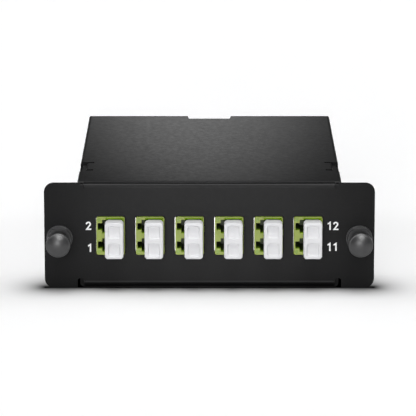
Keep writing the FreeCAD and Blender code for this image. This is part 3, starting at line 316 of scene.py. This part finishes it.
# the face colour is a painted reflection on the adapter's front
lime = plastic("lime_plastic", (0.27, 0.46, 0.012), (0.23, 0.40, 0.008), 0.5,
               face=(0.31, 0.38, 0.075), IOR=1.5, Specular_IOR_Level=0.25)
white = plastic("white_plastic", (0.74, 0.74, 0.755), (0.70, 0.70, 0.72), 0.55, IOR=1.5,
                Specular_IOR_Level=0.2)
nylon = plastic("black_nylon", (0.020, 0.020, 0.021), (0.014, 0.014, 0.015), 0.40, IOR=1.5,
                Specular_IOR_Level=0.75)
black = plastic("black_plastic", (0.014, 0.014, 0.015), (0.010, 0.010, 0.011), 0.42, IOR=1.5)
blue = plastic("blue_plastic", (0.02, 0.10, 0.42), (0.015, 0.08, 0.34), 0.36, IOR=1.5)
aqua = plastic("aqua_jacket", (0.03, 0.42, 0.42), (0.025, 0.36, 0.37), 0.45, IOR=1.5)
lime_jacket = plastic("fibre_jacket", (0.30, 0.50, 0.07), (0.26, 0.44, 0.05), 0.45, IOR=1.5)
print("plastics ready")

# %% [markdown]
# ## Metals and ceramic
#
# The spring clips are bright rolled strip, with long faint lines along the rolling direction. The
# screws are blackened steel, and the sleeves and ferrules are polished white ceramic. Stretching one
# noise sixty times longer along one axis than across it gives rolling lines.

# %% Make the metals and the ceramic
def rolled_steel(name, colour, rough, metallic=1.0):
    material, tree, shader, where = new_finish(name, Metallic=metallic)
    lines = noise(tree, where, 0.05, detail=2.0, stretch=(60, 1, 1))
    stain = noise(tree, where, 2.5, detail=3.0)
    feed(tree, shader.inputs["Base Color"],
         blend_colours(tree, stain, colour, tuple(part * 0.8 for part in colour)))
    feed(tree, shader.inputs["Roughness"], rough + (lines - 0.5) * 0.2 + (stain - 0.5) * 0.15)
    bump(tree, shader, lines, 0.004)
    return material


spring = rolled_steel("spring_steel", (0.56, 0.56, 0.55), 0.3)
black_steel = rolled_steel("black_steel", (0.06, 0.06, 0.065), 0.34, metallic=0.7)
ceramic = plastic("white_ceramic", (0.86, 0.85, 0.82), (0.82, 0.81, 0.78), 0.12,
                  grain_depth=0.001, IOR=1.9)
print("metals and ceramic ready")

# %% [markdown]
# ## Which node wears which finish
#
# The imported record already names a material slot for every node. Reading the slot from the record
# keeps this list short: one finish for each slot.

# %% Dress the nodes
by_slot = {"black_powder_coat": chassis_coat, "lime_plastic": lime, "white_plastic": white,
           "black_nylon": nylon, "black_plastic": black, "spring_steel": spring,
           "black_steel": black_steel, "white_ceramic": ceramic, "blue_plastic": blue,
           "aqua_jacket": aqua, "fibre_jacket": lime_jacket}


def base_name(text):
    """The name without the number that Blender adds to a copy."""
    return text.split(".")[0]


for name, item in nodes.items():
    slot = base_name(item.data.materials[0].name) if item.data.materials else "black_plastic"
    if slot not in by_slot:
        print("no finish for", name, slot)
        slot = "black_plastic"
    item.data.materials.clear()
    item.data.materials.append(lid_coat if name == "lid" else by_slot[slot])
print("dressed", len(nodes), "nodes")

# %% [markdown]
# ## Printed port numbers
#
# The numbers beside the first and the last adapter are pad-printed in white ink, with strokes of even
# width and round ends. Each stroke is a ribbon: a line through a few points, with a half circle at
# each end, lifted from the coat by the thickness of the ink. Text from a font would bring a typeface
# into the model, and its outlines are harder to keep even at this size.

# %% Draw a stroke
INK = 0.03 * MM  # thickness of the print
UNDER = 0.002 * MM  # how deep its back reaches into the coat
STROKE = 0.50 * MM
ROUND_END = 9  # points on a stroke's half-round end, of which the two on its sides are left out


def tube_faces(count, around):
    """Faces of a closed tube of rings: quads join each ring to the next, and both ends are capped."""
    index = np.arange(count * around).reshape(count, around)
    following = np.roll(index, -1, axis=1)
    quads = np.stack([index[:-1], following[:-1], following[1:], index[1:]], axis=-1)
    return [*quads.reshape(-1, 4).tolist(), index[0][::-1].tolist(), index[-1].tolist()]


def ring_mesh(name, rings, material):
    """A closed mesh from an array of rings with shape (rings, points, 3)."""
    mesh = bpy.data.meshes.new(name)
    mesh.from_pydata(rings.reshape(-1, 3).tolist(), [], tube_faces(*rings.shape[:2]))
    mesh.materials.append(material)
    mesh.validate()
    item = bpy.data.objects.new(name, mesh)
    bpy.context.scene.collection.objects.link(item)
    return item


def stroke_outline(points, width):
    """Outline of a ribbon: the line moved half a width to each side, with a half circle at each end."""
    line = np.array(points, float)
    run = np.diff(line, axis=0)
    run /= np.linalg.norm(run, axis=1)[:, None]
    bend = np.vstack([run[:1], run[:-1] + run[1:], run[-1:]])
    bend /= np.linalg.norm(bend, axis=1)[:, None]
    side = np.stack([-bend[:, 1], bend[:, 0]], axis=1)
    joint = np.vstack([run[:1], run])
    reach = 1 / np.clip(np.abs((bend * joint).sum(1)), 0.5, 1)
    left = line + side * (reach * width / 2)[:, None]
    right = line - side * (reach * width / 2)[:, None]
    turn = np.linspace(0, math.pi, ROUND_END)[1:-1]

    def end(centre, across, along):
        return (centre + width / 2 * (np.cos(turn)[:, None] * across
                                      + np.sin(turn)[:, None] * along))

    far = end(line[-1], side[-1], run[-1])
    start = end(line[0], -side[0], -run[0])
    return np.vstack([left, far, right[::-1], start])


def ink_stroke(name, points, left, low, height, material):
    """One printed stroke. Points are in units of the digit's height, from its lower left corner."""
    outline = stroke_outline(np.array(points) * height + [left, low], STROKE)
    front = float(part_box("chassis")[0].y)
    rings = np.zeros((2, len(outline), 3))
    rings[:, :, 0] = outline[:, 0]
    rings[:, :, 2] = outline[:, 1]
    rings[0, :, 1] = front + UNDER
    rings[1, :, 1] = front - INK
    return ring_mesh(name, rings, material)


print("ink is", INK / MM, "mm thick")

# %% [markdown]
# ## The digits
#
# Only two digits are needed. The one is a short flag and a stem. The two is most of a circle, a
# straight diagonal and a foot. The arc is worked out from its angle, so that it is round.

# %% Print the numbers
ink = plastic("white_ink", (0.92, 0.92, 0.92), (0.86, 0.86, 0.86), 0.55, grain_depth=0.003, IOR=1.45)
angle = np.radians(np.linspace(165, -38, 15))
bowl = np.stack([0.27 + 0.215 * np.cos(angle), 0.695 + 0.215 * np.sin(angle)], axis=1)
ONE = [[(0.09, 0.76), (0.30, 0.91), (0.30, 0.09)]]
TWO = [[*bowl.tolist(), (0.085, 0.09), (0.52, 0.09)]]
HEIGHT = 2.85 * MM
# each number: its digits, and each digit's left and lower edge in millimetres
NUMBERS = {"port_number_2": [(TWO, -40.69, 1.95)], "port_number_1": [(ONE, -40.15, -5.6)],
           "port_number_12": [(ONE, 38.95, 1.9), (TWO, 40.9, 1.9)],
           "port_number_11": [(ONE, 38.95, -5.25), (ONE, 40.95, -5.25)]}
for name, digits in NUMBERS.items():
    for place, (strokes, left, low) in enumerate(digits):
        for part, points in enumerate(strokes):
            piece = ink_stroke("%s_%d%d" % (name, place, part), points, left * MM, low * MM,
                               HEIGHT, ink)
            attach(piece, "cassette")
print("printed", sorted(NUMBERS))

# %% [markdown]
# ## Moulded caps
#
# A front cap is one white moulding: an eight-sided head with two finger recesses, and a square prong
# for each port. On the real cap no edge is sharp, because the mould's corners are radiused and the
# recess walls lean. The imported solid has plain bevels, which catch the light in hard lines, so each
# cap is made again inside the same box as a height field over the head's outline.

# %% Shape a cap
# millimetres; the recess is given by half its width and half its height, at the top of its wall
CAP = {"width": 6.1, "height": 12.2, "corner": 0.65, "head": 4.2, "edge": 0.42,
       "recess": (2.0, 2.15), "recess_pitch": 5.9, "recess_depth": 0.8, "recess_corner": 0.8,
       "recess_lip": 0.08, "recess_wall": 0.5,
       "prong": 4.3, "prong_pitch": 6.25, "prong_tip": 0.5, "prong_edge": 0.35, "prong_root": 0.5}


def ramp(value):
    """Smooth step: 0 below 0, 1 above 1 and 3t^2 - 2t^3 between."""
    held = np.clip(value, 0, 1)
    return held * held * (3 - 2 * held)


LOOSE = 13  # stations spread evenly over the whole width or height


def stations(half, marks, wide, fine):
    """Places from -half to half: dense within `wide` of each mark and the rim, loose between."""
    places = [np.linspace(-half, half, LOOSE)]
    for mark in [*marks, half]:
        near = np.linspace(mark - wide, mark + 0.1, fine)
        places += [near, -near]
    joined = np.unique(np.round(np.concatenate(places), 3))
    joined = joined[np.abs(joined) <= half]
    keep = np.concatenate([[True], np.diff(joined) > 0.02])
    keep[-1] = True
    return joined[keep]


def cap_face(across, up):
    """Depth of the head's front at a place: a quarter round at the rim, plus the recesses.

    The rim falls by r - sqrt(r^2 - (r - d)^2), where d is the distance in from the outline. A recess
    sinks by a smooth step of the distance inside a rectangle with round corners.
    """
    side = CAP["width"] / 2 - np.abs(across)
    end = CAP["height"] / 2 - np.abs(up)
    inside = np.minimum(np.minimum(side, end), (side + end - CAP["corner"]) / math.sqrt(2))
    radius = CAP["edge"]
    left = np.clip(radius - inside, 0, radius)
    depth = radius - np.sqrt(np.maximum(radius ** 2 - left ** 2, 0))
    half_x, half_z = CAP["recess"]
    corner = CAP["recess_corner"]
    for sign in (-1, 1):
        out_x = np.abs(across) - half_x + corner
        out_z = np.abs(up - sign * CAP["recess_pitch"] / 2) - half_z + corner
        beyond = (np.hypot(np.maximum(out_x, 0), np.maximum(out_z, 0))
                  + np.minimum(np.maximum(out_x, out_z), 0) - corner)
        depth = depth + CAP["recess_depth"] * ramp((CAP["recess_lip"] - beyond) / CAP["recess_wall"])
    return depth


def cap_head():
    """Points and faces of the head: the front field, its outline carried back, and a flat back."""
    recess_middle, half_recess = CAP["recess_pitch"] / 2, CAP["recess"][1]
    recess_ends = (recess_middle - half_recess, recess_middle + half_recess)
    rows = stations(CAP["height"] / 2, recess_ends, wide=0.55, fine=7)
    columns = stations(1.0, (2 * CAP["recess"][0] / CAP["width"],), wide=0.18, fine=7)
    side = CAP["width"] / 2 - np.clip(np.abs(rows) - (CAP["height"] / 2 - CAP["corner"]), 0, None)
    across = columns[None, :] * side[:, None]
    up = np.repeat(rows[:, None], len(columns), axis=1)
    front = np.stack([across, cap_face(across, up), up], axis=-1)
    count, wide = across.shape
    index = np.arange(count * wide).reshape(count, wide)
    quads = np.stack([index[:-1, :-1], index[:-1, 1:], index[1:, 1:], index[1:, :-1]], axis=-1)
    loop = np.concatenate([index[0], index[1:, -1], index[-1, -2::-1], index[-2:0:-1, 0]])
    points = front.reshape(-1, 3)
    rim = points[loop].copy()
    rim[:, 1] = CAP["head"]
    outer = np.arange(len(loop)) + len(points)
    walls = np.stack([np.roll(loop, -1), loop, outer, np.roll(outer, -1)], axis=-1)
    return np.vstack([points, rim]), [*quads.reshape(-1, 4).tolist(), *walls.tolist(),
                                      outer.tolist()]


def rounded_square(side, corner, steps=4):
    """Outline of a square with round corners, anticlockwise seen from the front."""
    turn = np.linspace(0, math.pi / 2, steps)
    quarter = np.stack([np.cos(turn), np.sin(turn)], axis=1) * corner + side / 2 - corner
    x, z = quarter[:, 0], quarter[:, 1]
    return np.vstack([np.stack([x, z], 1), np.stack([-x[::-1], z[::-1]], 1),
                      np.stack([-x, -z], 1), np.stack([x[::-1], -z[::-1]], 1)])


def cap_prong(level, start, stop):
    """Points and faces of a prong: a rounded square carried back, narrowed to its tip."""
    tip = CAP["prong_tip"]
    profile = [(start, 0), (stop - tip, 0), (stop - tip * 0.45, tip * 0.5), (stop, tip)]
    rings = []
    for place, shrink in profile:
        ring = rounded_square(CAP["prong"] - 2 * shrink, CAP["prong_edge"])
        rings.append(np.stack([ring[:, 0], np.full(len(ring), place), ring[:, 1] + level], 1))
    return np.vstack(rings), tube_faces(len(rings), len(rings[0]))


def join_shells(shells):
    """Several point and face lists as one, with the face numbers moved along."""
    points, faces, first = [], [], 0
    for shell_points, shell_faces in shells:
        points.append(shell_points)
        faces += [[corner + first for corner in face] for face in shell_faces]
        first += len(shell_points)
    return np.vstack(points), faces


def new_piece(name, points, faces, material, smooth=40):
    """A piece from points in metres. Faces are turned outward and shaded smooth up to an angle."""
    mesh = bpy.data.meshes.new(name)
    mesh.from_pydata(points.tolist(), [], faces)
    mesh.validate()
    work = bmesh.new()
    work.from_mesh(mesh)
    bmesh.ops.recalc_face_normals(work, faces=work.faces)
    work.to_mesh(mesh)
    work.free()
    mesh.materials.append(material)
    mesh.polygons.foreach_set("use_smooth", np.ones(len(mesh.polygons), bool))
    mesh.set_sharp_from_angle(angle=math.radians(smooth))
    item = bpy.data.objects.new(name, mesh)
    bpy.context.scene.collection.objects.link(item)
    return item


print("a cap head has", len(cap_head()[0]), "points")

# %% Make the six caps
ADAPTERS = 6


def onto_front(points, name):
    """Points in millimetres moved to stand on the middle of a node's front, and turned into metres."""
    low, high = node_box(name)
    middle = (low + high) / 2
    return (points + [middle[0], low[1], middle[2]]) * MM


for number in range(1, ADAPTERS + 1):
    node = "dust_cap_%d" % number
    low, high = node_box(node)
    shells = [cap_head()]
    for sign in (-1, 1):
        shells.append(cap_prong(sign * CAP["prong_pitch"] / 2, CAP["head"] - CAP["prong_root"],
                                high[1] - low[1]))
    points, faces = join_shells(shells)
    piece = new_piece("moulded_cap_%d" % number, onto_front(points, node), faces, white)
    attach(piece, node + "_body")
    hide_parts(node)
print("six caps, each", len(points), "points")

# %% [markdown]
# ## Turned latch pins
#
# Each latch pin is a nylon moulding that is round about one axis: a knob with a crowned face and soft
# rims, and a stem that runs through the collar. A profile spun about its axis makes it. The crown
# matters, because on a flat disc the light would not change from top to bottom. Its face falls back
# by crown * (radius / edge)^2.2, a little flatter in the middle than a ball.

# %% Spin the latch pins
AROUND = 72


def spin(profile, around=AROUND):
    """Points and faces of a turned form: radius and depth pairs, each ring r (cos t, sin t)."""
    line = np.array(profile)
    turn = np.linspace(0, 2 * math.pi, around, endpoint=False)
    rings = np.stack([line[:, :1] * np.cos(turn), np.repeat(line[:, 1:], around, axis=1),
                      line[:, :1] * np.sin(turn)], axis=-1)
    return rings.reshape(-1, 3), tube_faces(len(line), around)


def arc(centre, radius, start, stop, steps=7):
    """Points of an arc in the profile's plane, angles in degrees from the radius axis."""
    turn = np.radians(np.linspace(start, stop, steps))
    return np.stack([centre[0] + radius * np.cos(turn), centre[1] + radius * np.sin(turn)],
                    axis=1).tolist()


KNOB, CROWN, RIM = 4.05, 1.35, 0.4
BACK, BACK_RIM = 3.0, 0.45  # where the knob ends, and the round at its back
STEM, STEM_END = 1.9, 14.4
TIP, TIP_END, TIP_BEVEL = 1.2, 18.3, 0.5
crown_radius = np.linspace(0.12, KNOB - RIM, 12)
crown = np.stack([crown_radius, CROWN * (crown_radius / (KNOB - RIM)) ** 2.2], axis=1).tolist()
pin_profile = [*crown, *arc((KNOB - RIM, CROWN + RIM), RIM, -80, 0), (KNOB, BACK - BACK_RIM),
               *arc((KNOB - BACK_RIM, BACK - BACK_RIM), BACK_RIM, 0, 90), (STEM, BACK),
               (STEM, STEM_END), (TIP, STEM_END + TIP_BEVEL), (TIP, TIP_END - TIP_BEVEL),
               (TIP - TIP_BEVEL, TIP_END)]
for side in ("left", "right"):
    node = "plunger_" + side
    points, faces = spin(pin_profile)
    piece = new_piece("latch_pin_" + side, onto_front(points, node), faces, nylon, smooth=50)
    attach(piece, node + "_body")
    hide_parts(node)
    low, high = node_box(node)
    print(node, "length", round(float(high[1] - low[1]), 2), "piece",
          round(float(np.ptp(points[:, 1])), 2))

# %% [markdown]
# ## Screws with a cross recess
#
# The lid and the rear adapter are held by small pan head screws. Each head is spun with a low crown,
# and its cross recess is pressed in: points of the crown that lie inside the cross sink along a
# smooth wall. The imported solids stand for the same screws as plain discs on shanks.

# %% Make the screws
HEAD_TO_SHANK = 1.8  # a pan head's radius over its shank's
HEAD_ROUND, HEAD_CROWN = 0.28, 0.18  # round at the head's rim, and how far its face falls to it
CROSS_ARM, CROSS_HALF, CROSS_DEPTH = 0.55, 0.13, 0.55  # shares of the head's radius and height
CROSS_WALL = 0.12
SCREW_AROUND = 64


def cross_depth(across, up, arm, half_width, depth):
    """How far the cross recess sinks: full inside either arm, smooth over its narrow wall."""
    def bar(a, b):
        inside = np.minimum(arm - np.abs(a), half_width - np.abs(b))
        return ramp(inside / CROSS_WALL)
    return depth * np.maximum(bar(across, up), bar(up, across))


def pan_screw(radius, length, height):
    """A screw along Y, its head at the back: crowned head with a cross recess, then its shank."""
    head = HEAD_TO_SHANK * radius
    rings = np.linspace(0.02, head - HEAD_ROUND, 16)
    crown = np.stack([rings, height - HEAD_CROWN * (rings / head) ** 2], axis=1)
    edge = arc((head - HEAD_ROUND, crown[-1, 1] - HEAD_ROUND), HEAD_ROUND, 80, 0, 5)
    profile = [*crown.tolist(), *edge, (head, 0.0), (radius, 0.0), (radius, -length + 0.4),
               (radius * 0.55, -length)]
    points, faces = spin(profile, SCREW_AROUND)
    on_crown = np.arange(len(points)) < len(rings) * SCREW_AROUND
    sink = cross_depth(points[:, 0], points[:, 2], head * CROSS_ARM, head * CROSS_HALF,
                       height * CROSS_DEPTH)
    points[:, 1] -= np.where(on_crown, sink, 0)
    return points, faces


for node, radius, spread in (("lid_screws", 1.25, 60.0), ("rear_adapter_screws", 0.95, 17.6)):
    low, high = node_box(node)
    height = 1.1 * radius
    level = (low[2] + high[2]) / 2
    shells = []
    for sign in (-1, 1):
        points, faces = pan_screw(radius, (high[1] - low[1]) - height, height)
        shells.append((points + [sign * spread / 2, high[1] - height, level], faces))
    points, faces = join_shells(shells)
    piece = new_piece("cross_" + node, points * MM, faces, black_steel, smooth=35)
    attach(piece, "cassette")
    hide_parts(node)
    print(node, "box", np.round(low, 2), np.round(high, 2), "piece",
          np.round(points.min(0), 2), np.round(points.max(0), 2))

# %% [markdown]
# ## Pin marks
#
# Where the ejector pins pushed an adapter out of its mould, its face keeps two small round marks, one
# near each corner on the keyway side. Each is a raised ring with a shallow dish in it, four hundredths
# of a millimetre proud, spun like the latch pins.

# %% Make the pin marks
# The marks are coloured a darker green than the face, as painted shade for the dark ring they show.
shaded_mark_green = plastic("pin_mark_plastic", (0.22, 0.34, 0.03), (0.19, 0.30, 0.02), 0.42, IOR=1.5)
MARK, PROUD = 0.55, 0.04
FROM_SIDE, FROM_TOP, FROM_FOOT = 0.9, 1.1, 1.05  # from the face's edges to the middle of a mark
mark_profile = [(0.02, 0.03), (0.24, 0.03), (0.34, 0.0), (0.48, 0.0), (MARK, 0.03), (MARK, 0.2)]
for number in range(1, ADAPTERS + 1):
    low, high = node_box("adapter_%d" % number)
    shells = []
    for level in (high[2] - FROM_TOP, low[2] + FROM_FOOT):
        points, faces = spin(mark_profile, around=32)
        shells.append((points + [low[0] + FROM_SIDE, low[1] - PROUD, level], faces))
    points, faces = join_shells(shells)
    piece = new_piece("pin_marks_%d" % number, points * MM, faces, shaded_mark_green)
    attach(piece, "cassette")
print("six pairs of pin marks,", PROUD, "mm proud")

# %% [markdown]
# ## Studio
#
# The part stands on a pale floor that runs far behind it, so floor and background are one. The floor
# is nearly white and takes the soft shadow. Seen by the camera and in reflections, the little light
# that it lacks is added as a faint glow.
#
# Where the panel's foot meets the floor, the shade is close and dark, and wide soft lamps alone leave
# it too pale. The floor's colour is therefore painted darker there as a painted shadow, by
# exp(-d / fade), where d is the distance from the foot. A patch behind the foot, under the box and just
# past its sides, is painted dark all over as painted shadow. It is what the bend reliefs look onto.

# %% Lay the floor
low_corner, high_corner = cad_box
# the second colour is the painted shadow at the foot and in the patch under the box
PALE, SHADOW_COLOUR = (0.96, 0.96, 0.965), (0.0, 0.0, 0.0)
FOOT_MIDDLE, FOOT_HALF = -0.6 * MM, 0.6 * MM  # the panel's foot, from front to back
SHADOW_FADE = 7 * MM  # distance at which the contact shadow has lost two thirds
PATCH_SIDE, PATCH_FRONT, PATCH_BACK = 45 * MM, -1.2 * MM, 14 * MM
PATCH_FADE = 1 * MM
GLOW = 0.14
FLOOR_REACH = 4.0


def make_floor():
    mesh = bpy.data.meshes.new("floor")
    corner_signs = ((-1, -1), (1, -1), (1, 1), (-1, 1))
    mesh.from_pydata([(FLOOR_REACH * x, FLOOR_REACH * y, low_corner[2]) for x, y in corner_signs],
                     [], [(0, 1, 2, 3)])
    item = bpy.data.objects.new("floor", mesh)
    bpy.context.scene.collection.objects.link(item)
    material = bpy.data.materials.new("floor")
    material.use_nodes = True
    tree = material.node_tree
    tree.nodes.clear()
    rays = tree.nodes.new("ShaderNodeLightPath")
    seen = (Wire(tree, rays.outputs["Is Camera Ray"]) + Wire(tree, rays.outputs["Is Glossy Ray"])
            + Wire(tree, rays.outputs["Is Transmission Ray"]))
    where = add_node(tree, "ShaderNodeTexCoord", output=3)
    across = add_node(tree, "ShaderNodeSeparateXYZ", Vector=where)
    along = add_node(tree, "ShaderNodeSeparateXYZ", output=1, Vector=where)
    beside = across.math("ABSOLUTE", across) - high_corner[0]
    before = along.math("ABSOLUTE", along - FOOT_MIDDLE) - FOOT_HALF
    away = beside.math("MAXIMUM", beside, 0.0) ** 2.0 + before.math("MAXIMUM", before, 0.0) ** 2.0
    near_foot = away.math("EXPONENT", away.math("SQRT", away) * (-1 / SHADOW_FADE))
    patch = 1 - across.math("ABSOLUTE", across).between(PATCH_SIDE, PATCH_SIDE + PATCH_FADE)
    patch = patch * (1 - along.between(PATCH_BACK, PATCH_BACK + PATCH_FADE))
    # painted shadow: the floor is darkened near the foot and all over the patch under the box
    painted_shadow = near_foot.math("MAXIMUM", near_foot, patch * along.between(PATCH_FRONT, 0.0))
    tint = blend_colours(tree, painted_shadow, PALE, SHADOW_COLOUR)
    matt = add_node(tree, "ShaderNodeBsdfDiffuse", Color=tint)
    glow = add_node(tree, "ShaderNodeEmission", Color=(1, 1, 1, 1),
                    Strength=seen * (1 - painted_shadow) * GLOW)
    both = tree.nodes.new("ShaderNodeAddShader")
    tree.links.new(matt.socket, both.inputs[0])
    tree.links.new(glow.socket, both.inputs[1])
    out = tree.nodes.new("ShaderNodeOutputMaterial")
    tree.links.new(both.outputs[0], out.inputs["Surface"])
    mesh.materials.append(material)
    return item


floor = make_floor()
print("floor at", round(low_corner[2] / MM, 2), "mm")

# %% [markdown]
# ## Light
#
# A dim white world gives the even base. A wide sun high in front lights the floor, the lid and the tops
# of the caps, and a second one low in front fills the panel and the cap faces. Two weak suns stand at
# the sides.
#
# Black paint shows mostly what it mirrors, so four more lamps light gloss only and leave matt colours,
# such as the floor's, as they are. A sun and a spot in front put a soft sheen on the middle of the panel and
# on the knobs. A faint sun and a spot low behind the part skim the lid: at that shallow angle the coat
# mirrors them softly, which draws the sheen that fades towards the front and the sides.

# %% Set the lamps
WORLD = 0.08


def make_world(strength):
    world = bpy.data.worlds.new("studio")
    bpy.context.scene.world = world
    world.use_nodes = True
    world.node_tree.nodes["Background"].inputs["Color"].default_value = (1, 1, 1, 1)
    world.node_tree.nodes["Background"].inputs["Strength"].default_value = strength


def lamp(name, kind, place, target, energy, **settings):
    """A lamp at a place, turned to face the target."""
    data = bpy.data.lights.new(name, kind)
    data.energy = energy
    for setting, value in settings.items():
        setattr(data, setting, value)
    item = bpy.data.objects.new(name, data)
    bpy.context.scene.collection.objects.link(item)
    item.location = place
    item.rotation_euler = (Vector(target) - item.location).to_track_quat("-Z", "Y").to_euler()
    return item


def from_angles(azimuth, elevation, reach=2.0):
    """A place seen from the origin at an azimuth, from the front towards the right, and elevation."""
    turn, rise = math.radians(azimuth), math.radians(elevation)
    return (reach * math.sin(turn) * math.cos(rise), -reach * math.cos(turn) * math.cos(rise),
            reach * math.sin(rise))


SIDE_FILL = {"energy": 0.5, "angle": math.radians(30)}
SPOT_EDGE = {"spot_blend": 1.0, "shadow_soft_size": 0.005}  # fades from the middle of its cone

make_world(WORLD)
lamp("overhead", "SUN", from_angles(0, 74), (0, 0, 0), 2.05, angle=math.radians(36))
lamp("front_fill", "SUN", from_angles(-8, 12), (0, 0, 0), 1.3, angle=math.radians(30))
lamp("left_fill", "SUN", from_angles(-112, 20), (0, 0, 0), **SIDE_FILL)
lamp("right_fill", "SUN", from_angles(112, 20), (0, 0, 0), **SIDE_FILL)
sheen = [
    lamp("high_front", "SUN", from_angles(12, 50), (0, 0, 0), 1.9, angle=math.radians(30)),
    lamp("panel_glow", "SPOT", (0, -0.9, 0.0), (0, 0, 0.014), 18.0, spot_size=math.radians(7.0),
         **SPOT_EDGE),
    lamp("lid_haze", "SUN", from_angles(184, 16), (0, 0, 0), 0.016, angle=math.radians(20)),
    lamp("lid_skim", "SPOT", (-0.02, 1.2, 0.36), (-0.002, 0.17, 0.0175), 3.5,
         spot_size=math.radians(6.6), **SPOT_EDGE)]
for item in sheen:
    item.visible_diffuse = False

# %% [markdown]
# ## Camera
#
# The camera stands about a metre in front, a little above the part, and looks down on it through a
# long lens, so the sides of the lid run together only slightly towards the back.

# %% Place the camera
CAMERA_PLACE = (-0.000464, -0.973287, 0.241551)
LOOKS_DOWN = 13.4317  # degrees
FOCAL_LENGTH = 262.56
lens = bpy.data.cameras.new("camera")
lens.lens = FOCAL_LENGTH
lens.sensor_width = 36
lens.clip_start, lens.clip_end = 0.01, 20
camera = bpy.data.objects.new("camera", lens)
bpy.context.scene.collection.objects.link(camera)
camera.location = CAMERA_PLACE
camera.rotation_euler = (math.radians(90 - LOOKS_DOWN), 0, 0)
bpy.context.scene.camera = camera
bpy.context.scene.view_settings.view_transform = "Standard"
print("camera", tuple(round(value, 4) for value in camera.location))
